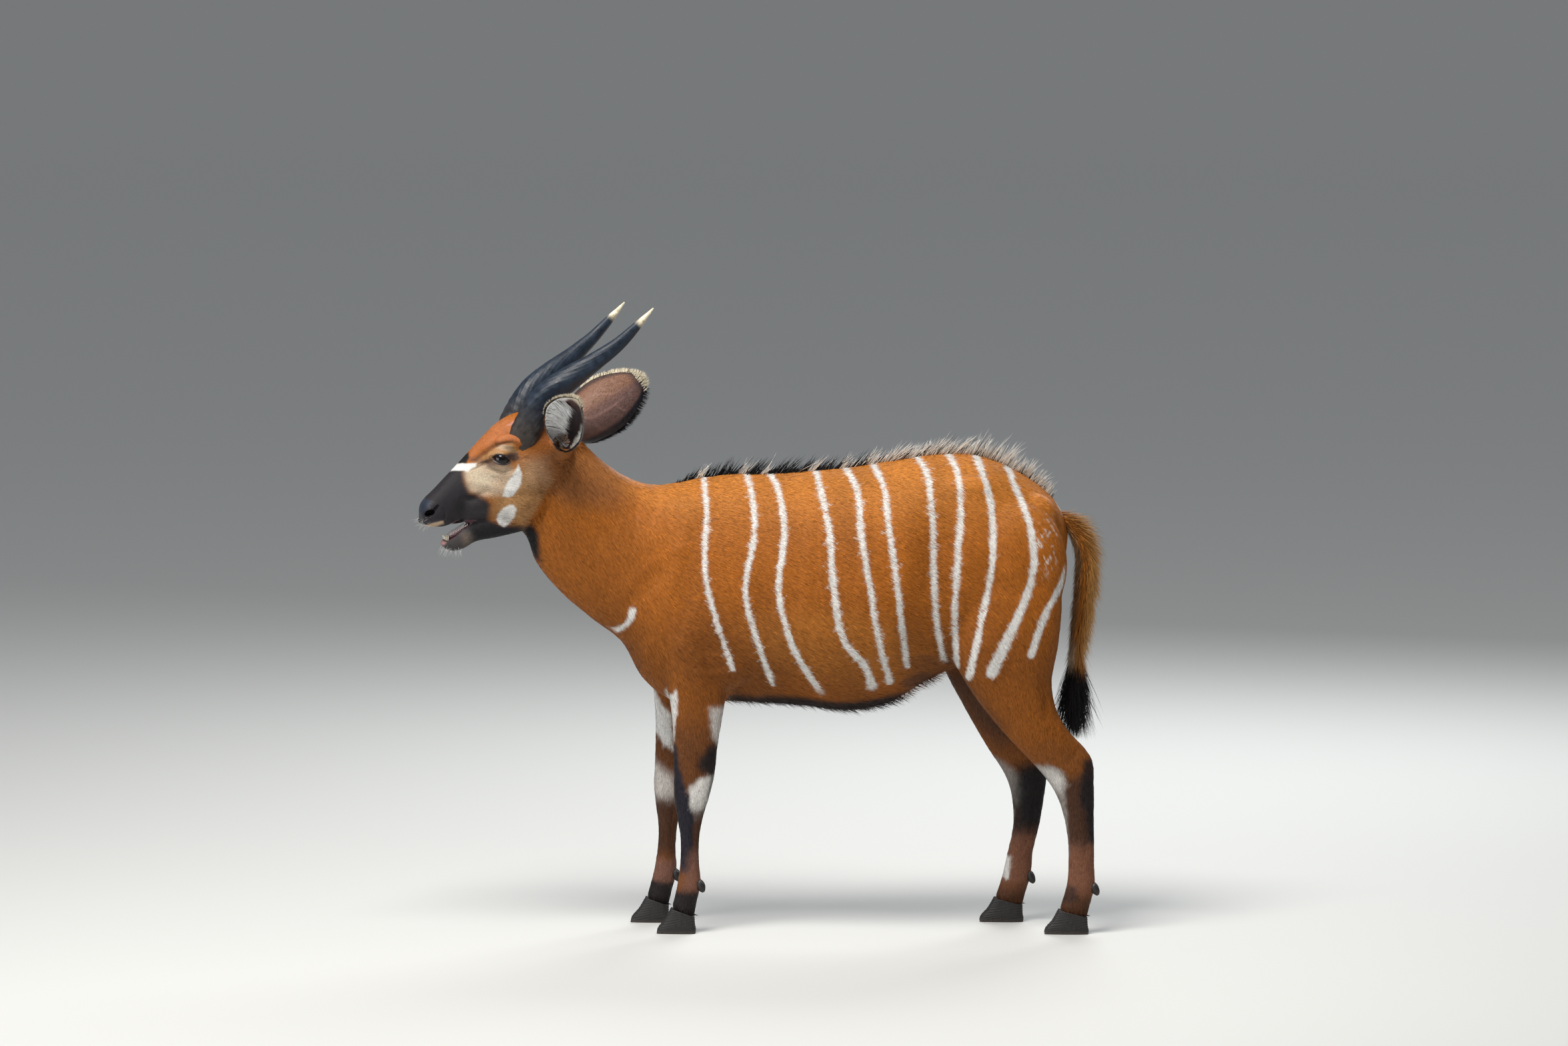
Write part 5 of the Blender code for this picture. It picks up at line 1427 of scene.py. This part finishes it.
# The ears' longer hair: how many, their range along the ear and across it, the depth of their
# roots, how they lean (out of the back, rearwards, along), lengths, colours and share of the second
EAR_HAIR = [
    (1000, (0.08, 0.97), (0.985, 0.998), 0.8, (0.15, 0.85, 0.45), (10, 19), BLACK, GREY, 0.15),
    (700, (0.50, 0.99), (-0.998, -0.985), 0.8, (0.20, -0.60, 0.80), (7, 14), CREAM, BLACK, 0.25),
    (300, (0.06, 0.50), (-0.998, -0.970), 0.8, (0.10, -0.30, 0.90), (5, 9), ORANGE, BLACK, 0.30),
    (350, (0.93, 0.99), (-1.0, 1.0), 0.6, (0.20, 0.00, 0.95), (9, 17), CREAM, BLACK, 0.12),
    (1300, (0.08, 0.80), (-1.0, -0.55), 0.3, (-0.40, 0.80, -0.50), (24, 44), CHALK, BLACK, 0.06),
    (220, (0.30, 0.66), (0.50, 0.86), 0.3, (-0.40, -0.25, 0.85), (8, 14), WHITE, CREAM, 0.30),
    (260, (0.05, 0.17), (-0.90, 0.95), 0.3, (-0.75, 0.10, -0.40), (14, 25), WHITE, ORANGE, 0.40),
]
EAR_DOWN = 5000
# What hair of the back and of the cup leans its shading towards, so that it is lit as on the animal
LIT_BEHIND, LIT_WITHIN = (0.0, 0.0, 1.3), (-0.5, -0.6, 0.1)


def eased(table, u):
    """A smooth curve through a short table of places and values, read at u."""
    smooth = curve_through(np.array(table, float) * (100, 1), 200)
    return np.interp(u * 100, smooth[:, 0], smooth[:, 1])


def ear_place(shape, u, v, depth):
    """A point of an ear and the ways out of its back, to its edge and along it. u runs from root
    to tip, v from edge to edge round an arc whose width and curl are in the tables, and depth is
    how far through the wall the point lies."""
    root, tip = (np.array(shape[end]) * MM for end in ("root", "tip"))
    along = (tip - root) / np.linalg.norm(tip - root)
    opens = np.array(shape["opens"], float)
    opens -= along * (opens @ along)
    opens /= np.linalg.norm(opens)
    across = np.cross(along, opens)
    curl = np.radians(eased(EAR_CURL, u)) * shape["curl"]
    bend = eased(EAR_SPREAD, u) * MM / curl
    inward = bend - (bend + depth) * np.cos(v * curl) - EAR_BOW * np.sin(np.pi * u)
    sideways = (bend + depth) * np.sin(v * curl)
    place = root + u[..., None] * (tip - root) + inward[..., None] * opens + sideways[..., None] * across
    out = np.sin(v * curl)[..., None] * across - np.cos(v * curl)[..., None] * opens
    edgeways = np.cos(v * curl)[..., None] * across + np.sin(v * curl)[..., None] * opens
    ways = [unit(on_head(place + way * 0.01) - on_head(place)) for way in (out, edgeways, along)]
    return on_head(place), ways


def ear_back(u, rear):
    """Colour and veins of the back of an ear, at places along it and towards its rear edge."""
    view = np.stack([u, rear], axis=1) * EAR_VIEW
    veins = folded(view, EAR_VEINS)
    colour = laid(EAR_BROWN, EAR_RED, step(rear, 0.15, -0.35) * 0.75)
    colour = laid(colour, CHESTNUT, step(u, 0.2, 0.06))
    colour = laid(colour, EAR_VEIN, np.clip(veins, 0, 1) * 0.5)
    colour = laid(colour, SLATE, step(-rear, 0.72, 0.92) * 0.8)
    colour = laid(colour, NIGHT, step(rear, 0.6, 0.8))
    return laid(colour, NIGHT, step(u, 0.86, 0.96) * 0.85), veins


def ear_inside(u, rear):
    """Colour of the inside of an ear: pale at its edges, and near black in its depth as painted shade in
    the hollow.
    """
    view = np.stack([u, rear], axis=1) * EAR_VIEW
    colour = laid(EAR_CUP, EAR_HOLLOW_SHADE, patch(view, 120, 8, 90, 36, 0, 0.8))
    colour = laid(colour, WHITE, step(-rear, 0.45, 0.75) * 0.9)
    colour = laid(colour, WHITE, patch(view, 118, 48, 48, 12, 0, 0.5) * 0.8)
    colour = laid(colour, ORANGE, step(rear, 0.84, 0.94) * 0.7)
    return laid(colour, CREAM, step(u, 0.86, 0.96) * 0.8)


def ear_hairs(shape, draw, count, u_range, rear_range, depth, lean, reach, first, second, share):
    """Hairs of one kind on an ear, from a row of the table: roots, lies, faces, lengths, colours
    and droops."""
    u, rear = draw.uniform(*u_range, count), draw.uniform(*rear_range, count)
    root, ways = ear_place(shape, u, rear * shape["rear"], np.full(count, depth) * MM)
    lean_out, lean_rear, lean_on = lean
    lie = ways[0] * lean_out + ways[1] * lean_rear * shape["rear"] + ways[2] * lean_on
    lie = unit(lie + draw.normal(0, 0.10, (count, 3)))
    colour = laid(first, second, (draw.uniform(0, 1, count) < share) * 1.0)
    toward = unit(np.sign(lean_out) * ways[0] + (LIT_BEHIND if lean_out > 0 else LIT_WITHIN))
    return root, lie, toward, draw.uniform(*reach, count) * MM, colour, np.full(count, 0.18)


EAR, tree, shader = finish_of("ear", Roughness=0.52, Specular_IOR_Level=0.35)
fine = noise_of(tree, 260.0, 6.0)
grained(tree, shader, "coat", fine, (0.3, 0.7), (0.78, 1.22))
bumped(tree, shader, fine, 0.0008)

u, v = np.meshgrid(np.linspace(0.0, 1.0, EAR_ROWS), np.linspace(-1.0, 1.0, EAR_COLUMNS), indexing="ij")
for name, shape in EARS.items():
    rear = v * shape["rear"]
    back_colour, veins = ear_back(u.ravel(), rear.ravel())
    depth = (eased(EAR_WALL, u) + veins.reshape(u.shape)) * MM
    rows = [ear_place(shape, u, v, depth)[0], ear_place(shape, u, v, 0.0 * u)[0][:, ::-1]]
    ear = piece(f"{name}_ear_shell", *tube(np.concatenate(rows, axis=1)), EAR)
    inside = ear_inside(u.ravel(), rear.ravel()).reshape(rows[0].shape)
    colour = np.concatenate([back_colour.reshape(inside.shape), inside[:, ::-1]], axis=1)
    colour[0] = BLACK
    coloured(ear, "coat", np.vstack([colour.reshape(-1, 3), BLACK, CREAM]))
    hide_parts(f"{name}_ear")
    draw = np.random.default_rng(71)
    hairs = [ear_hairs(shape, draw, *row) for row in EAR_HAIR]
    roots, lie, face, lengths, colour, droop = (np.concatenate(rows) for rows in zip(*hairs))
    colour = np.clip(colour * np.exp(draw.normal(0, 0.18, len(colour)))[:, None], 0, 1)
    unwrap = (on_head(np.array(shape["root"]) * MM), unit(lie.mean(axis=0)), -0.1, 0.4)
    # Each hair is painted darker at its root: painted shade
    hair_piece(f"{name}_ear_hair", roots, lie, face, (lengths, 0.0014, 0.0005), (colour * 0.8, colour),
               unwrap, droop, rings=2, soft=True)
    u_down, rear_down = draw.uniform(0.0, 0.97, EAR_DOWN), draw.uniform(-0.98, 0.98, EAR_DOWN)
    depth = (eased(EAR_WALL, u_down) - 0.4) * MM
    roots, ways = ear_place(shape, u_down, rear_down * shape["rear"], depth)
    lie = unit(ways[2] + 0.16 * ways[0] + draw.normal(0, 0.08, (EAR_DOWN, 3)))
    colour = ear_back(u_down, rear_down)[0] * np.exp(draw.normal(0.05, 0.16, EAR_DOWN))[:, None]
    sizes = (draw.uniform(0.004, 0.008, EAR_DOWN), 0.0010, 0.0004)
    # Each hair is painted darker at its root: painted shade
    tints = (colour * 0.9, colour)
    hair_piece(f"{name}_ear_down", roots, lie, ways[0], sizes, tints, unwrap, soft=True)

# Each foot ends in two claws of horn, side by side, with two small dewclaws behind the fetlock.
# The horn is dark, ringed as it grew, and scuffed pale along the edge that bears on the ground.
# Millimetres: a claw from its foot's middle, its gap to the leg, how far its sole reaches ahead of
# the coronet and behind it, and a dewclaw's half-sizes and place
CLAW_OUT = 15.8
CLAW_GAP = 0.3
TOE, HEEL = 33, 2
DEWCLAW = (9, 8, 15)
DEWCLAW_OUT = 13
HOOF_BLACK, HOOF_SCUFF, HOOF_TOP = (0.014, 0.012, 0.011), (0.040, 0.030, 0.024), (0.012, 0.010, 0.010)
DEWCLAW_TILT = math.radians(-24)

HOOF, tree, shader = finish_of("hoof", Roughness=0.45, Specular_IOR_Level=0.45)
drawn_out = {"Vector": object_place(tree), "Scale": (420.0, 420.0, 60.0)}
fibres = noise_of(tree, 1.0, 5.0, Vector=node(tree, "ShaderNodeMapping", drawn_out).outputs[0])
grained(tree, shader, "coat", fibres, (0.3, 0.7), (0.6, 1.5))
roughened(tree, shader, fibres, (0.3, 0.7), (0.36, 0.62))
bumped(tree, shader, fibres, 0.0008)

for side, name in ((-1, "left"), (1, "right")):
    for pair in ("fore", "hind"):
        (fx, fz), (rx, rz) = CORONET[pair]
        drop = np.array((rz - fz, fx - rx), float)
        drop *= -CLAW_GAP * np.sign(drop[1]) / np.linalg.norm(drop)
        rows = [
            (fx + drop[0], fz + drop[1], rx + drop[0], rz + drop[1], 10.8),
            (fx - 15, fz * 0.52, rx + 1, rz * 0.5, 11.6),
            (fx - 32, 7, rx + 3, 5, 11.4),
            (fx - TOE, 0, rx + HEEL, 0, 10.6),
        ]
        for out, place in ((-1, "left"), (1, "right")):
            middle = [side * LEG_SIDE[pair] + out * CLAW_OUT] * len(rows)
            points, faces = loft(leg_rows(rows, pair, side), 50, 44, 2.5, 0.3, middle)
            normals = normals_of(points, faces)
            wall = step(points[:, 2], 0.003, 0.009) * step(np.abs(normals[:, 2]), 0.9, 0.6)
            slope = (fz - rz) / (fx - rx) * 0.7
            slant = points[:, 2] / MM + (points[:, 0] / MM - rx - HEEL) * slope
            rings = 0.30 * np.sin(slant * 1.15) + 0.18 * np.sin(slant * 2.7 + 1) - 0.25
            points = points + normals * (rings * wall * MM)[:, None]
            claw = piece(f"{name}_{pair}_{place}_hoof", points, faces, HOOF)
            colour = laid(HOOF_BLACK, HOOF_SCUFF, step(points[:, 2], 0.01, 0.002) * 0.8)
            colour = laid(colour, HOOF_TOP, step(points[:, 2], 0.036, 0.048) * 0.7)
            colour *= 1 + 0.25 * (np.sin(slant * 0.9 + 2) * wall)[:, None]
            coloured(claw, "coat", colour)
            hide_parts(f"{name}_{pair}_{place}_claw")
            back, height = leg_rows(FORELEG if pair == "fore" else HINDLEG, pair, side)[-3][2:4]
            centre = np.array((back - 1, side * LEG_SIDE[pair] + out * DEWCLAW_OUT, height - 4)) * MM
            points, faces = ball(centre, np.array(DEWCLAW) * MM, DEWCLAW_TILT, 20, 24)
            along = points[:, 2] - centre[2]
            points += unit(points - centre) * (0.0003 * np.sin(along / MM * 1.6))[:, None]
            dew = piece(f"{name}_{pair}_{place}_dewhoof", points, faces, HOOF)
            coloured(dew, "coat", HOOF_BLACK)
            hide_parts(f"{name}_{pair}_{place}_dewclaw")

# The eyes are dark, wet globes with a level pupil and a clear bulge in front, framed by bare,
# dark lid rims and the lashes of the upper lid.
GLOBE_RINGS, GLOBE_SIDES = 48, 64
CORNEA = (0.05, 0.42)
PUPIL = (0.42, 0.22)
EYE_BROWN, EYE_BLACK, EYE_RING = (0.010, 0.005, 0.004), (0.0015, 0.0015, 0.002), (0.05, 0.036, 0.032)
angle = np.linspace(0.01, math.pi - 0.01, GLOBE_RINGS)[:, None]
turn = np.linspace(0, 2 * np.pi, GLOBE_SIDES, endpoint=False)[None, :]
bulge = EYE_RADIUS * (1 + CORNEA[0] * np.exp(-((angle / CORNEA[1]) ** 4)))
across, upright = bulge * np.sin(angle) * np.cos(turn), bulge * np.sin(angle) * np.sin(turn)
eye_points, eye_faces = tube(np.stack([across, bulge * np.cos(angle) + 0 * turn, upright], axis=2))
across, upright = eye_points[:, 0] / EYE_RADIUS, eye_points[:, 2] / EYE_RADIUS
pupil = softened(5.0 * (1.0 - np.hypot(across / PUPIL[0], upright / PUPIL[1])))
white = step(np.hypot(across, upright), 0.8, 0.9)
colour = laid(laid(EYE_BROWN, EYE_BLACK, pupil), EYE_RING, white)
EYE, tree, shader = finish_of("eye", Roughness=0.06, Specular_IOR_Level=0.3)
shader.inputs["Coat Weight"].default_value = 0.1
shader.inputs["Coat Roughness"].default_value = 0.02
grained(tree, shader, "eye", noise_of(tree, 400.0, 4.0), (0.3, 0.7), (0.7, 1.3))

WET, tree, shader = finish_of("wet_skin", Roughness=0.32, Specular_IOR_Level=0.5)
beads = noise_of(tree, 500.0, 3.0)
grained(tree, shader, "coat", beads, (0.3, 0.7), (0.8, 1.2))
bumped(tree, shader, beads, 0.0006)

RIM_COUNT, RIM_SIDES = 96, 14
RIM_BLACK = (0.022, 0.018, 0.020)
LASHES = 70
LASH_WAY = (0.0, 0.0, -0.25)
outline = unit(lid_outline(RIM_COUNT))
middle = unit(outline.mean(axis=0))
outward_way = unit(outline - middle * (outline @ middle)[:, None])
roll = np.linspace(0, 2 * np.pi, RIM_SIDES, endpoint=False)[None, :, None]
rim = outline[:, None] * (EYE_RADIUS + 0.0008) + (
    outline[:, None] * np.sin(roll) * 0.0017 + outward_way[:, None] * (np.cos(roll) * 0.0020 + 0.0004)
)
rim_faces = grid_faces(RIM_COUNT + 1, RIM_SIDES) % (RIM_COUNT * RIM_SIDES)
for side, name in ((-1, "left"), (1, "right")):
    points = eye_turn(eye_points, side)
    eye = piece(f"{name}_eyeball", points, outward(points, eye_faces), EYE)
    coloured(eye, "eye", colour)
    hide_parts(f"{name}_eye")
    points = eye_turn(rim.reshape(-1, 3), side)
    lid = piece(f"{name}_lid_rim", points, outward(points, rim_faces), WET)
    coloured(lid, "coat", RIM_BLACK)
    draw = np.random.default_rng(61)
    chosen = draw.choice(np.flatnonzero(outline[:, 2] - middle[2] > 0.10), LASHES)
    root = outline[chosen] * (EYE_RADIUS + 0.0024)
    way = outline[chosen] * 0.9 + outward_way[chosen] * 0.35 + LASH_WAY
    way += draw.normal(0, 0.12, (LASHES, 3))
    roots, tips = eye_turn(root, side), eye_turn(root + way * 0.01, side)
    face = eye_turn(root + outward_way[chosen] * 0.01, side) - roots
    sizes = (draw.uniform(0.006, 0.011, LASHES), 0.00045, 0.0003)
    tints = (np.tile(BLACK, (LASHES, 1)),) * 2
    hair_piece(f"{name}_lashes", roots, unit(tips - roots), face, sizes, tints, FACE_UNWRAP, 0.3, rings=3)

# The mouth stands open: eight small front teeth in the lower jaw, a row of pale, fleshy points
# inside each side of the lower lip, and the tongue lying in the jaw.
TOOTH_COUNT = 8
TOOTH_ARC = (0.0112, math.radians(135))
TOOTH_CENTRE = np.array((-0.7315, 0.0, 0.9265))
TOOTH_SIZE = (0.0019, 0.0016, 0.0080)
TOOTH_SLANT = math.radians(-24)
LIP_POINTS = 11
LIP_POINT = ((0.0010, 0.0010, 0.0036), math.radians(20))
LIP_START, LIP_RUN = np.array((-0.731, 0.0108, 0.9345)), np.array((0.040, 0.0035, 0.022))
TONGUE = ((-0.703, 0.0, 0.9415), (0.036, 0.0085, 0.0062), math.radians(-27))

blades = []
for turn in TOOTH_ARC[1] * (np.arange(TOOTH_COUNT) / (TOOTH_COUNT - 1) - 0.5):
    points, faces = ball((0, 0, 0), TOOTH_SIZE, TOOTH_SLANT, 16, 20)
    c, s = math.cos(-turn), math.sin(-turn)
    x, y, z = points.T
    points = np.stack([x * c - y * s, x * s + y * c, z], axis=1)
    blades.append((points + TOOTH_CENTRE + TOOTH_ARC[0] * np.array((-c, -s, 0.0)), faces))
cones = []
for side in (-1, 1):
    for share in np.linspace(0.0, 1.0, LIP_POINTS):
        foot = (LIP_START + LIP_RUN * share) * (1, side, 1)
        cones.append(ball(foot, *LIP_POINT, 8, 8))
MOUTH_PIECES = (
    ("front_teeth", gathered(blades), (0.62, 0.56, 0.44)),
    ("lip_points", gathered(cones), (0.58, 0.47, 0.44)),
    ("tongue", ball(*TONGUE, 30, 40), (0.20, 0.115, 0.13)),
)
for name, form, tint in MOUTH_PIECES:
    points, faces = headed(form)
    thing = piece(name, points, faces, WET)
    coloured(thing, "coat", tint)

# The stage is a plain pale floor under soft studio light, and a camera at the picture's angle.
FLOOR_REACH = 70.0
FLOOR_RIM = 30.0
FLOOR_RINGS, FLOOR_SIDES = 60, 96
LIT_HEIGHT = 0.8
CAMERA_LENS = 197.6
CAMERA_DISTANCE = 20.0
CAMERA_RISE = math.radians(5.5)
CAMERA_TARGET = np.array((0.0597, 0.0, 0.947)) + SHIFT
radius = np.linspace(0.0, 1.0, FLOOR_RINGS)[:, None]
turn = np.linspace(0, 2 * np.pi, FLOOR_SIDES, endpoint=False)
reach = FLOOR_REACH * (radius + 1e-6)
rise = FLOOR_RIM * step(radius, 0.45, 1)
bowl = np.stack([reach * np.cos(turn), reach * np.sin(turn), rise + 0 * turn], axis=2)
floor = thing_of("floor", bowl.reshape(-1, 3), grid_faces(FLOOR_RINGS, FLOOR_SIDES)[:, ::-1])
floor.data.shade_smooth()
floor_finish, tree, shader = finish_of("floor", Roughness=0.85)
shader.inputs["Base Color"].default_value = (0.62, 0.62, 0.60, 1.0)
floor.data.materials.append(floor_finish)
floor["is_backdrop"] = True


def lamp(name, place, size, power, colour):
    """A square soft light that faces the animal's middle."""
    light = bpy.data.lights.new(name, "AREA")
    light.size, light.energy, light.color = size, power, colour
    thing = bpy.data.objects.new(name, light)
    bpy.context.scene.collection.objects.link(thing)
    x, y, z = np.array(place) - (0.0, 0.0, LIT_HEIGHT)
    thing.location = place
    thing.rotation_euler = (math.atan2(math.hypot(x, y), z), 0.0, math.atan2(y, x) + math.pi / 2)


lamp("key", (-1.0, -2.2, 5.2), 2.2, 320, (1.0, 0.97, 0.92))
lamp("fill", (-4.4, -3.6, 1.3), 2.4, 82, (0.93, 0.96, 1.0))
lamp("rim", (1.5, 4.0, 3.6), 2.4, 160, (0.95, 0.98, 1.0))
world = bpy.data.worlds.new("studio")
bpy.context.scene.world = world
world.use_nodes = True
world.node_tree.nodes["Background"].inputs["Color"].default_value = (0.86, 0.90, 0.96, 1.0)
world.node_tree.nodes["Background"].inputs["Strength"].default_value = 0.36
bpy.context.scene.view_settings.view_transform = "Standard"

camera = bpy.data.objects.new("camera", bpy.data.cameras.new("camera"))
bpy.context.scene.collection.objects.link(camera)
camera.data.lens = CAMERA_LENS
camera.data.sensor_width = 36.0
camera.data.clip_end = 100.0
back = np.array((0.0, -math.cos(CAMERA_RISE), math.sin(CAMERA_RISE)))
camera.location = CAMERA_TARGET + back * CAMERA_DISTANCE
camera.rotation_euler = (math.pi / 2 - CAMERA_RISE, 0.0, 0.0)
bpy.context.scene.camera = camera

low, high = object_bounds()
sizes = {"cad": [list(cad_low), list(cad_high)], "visual": [list(low), list(high)]}
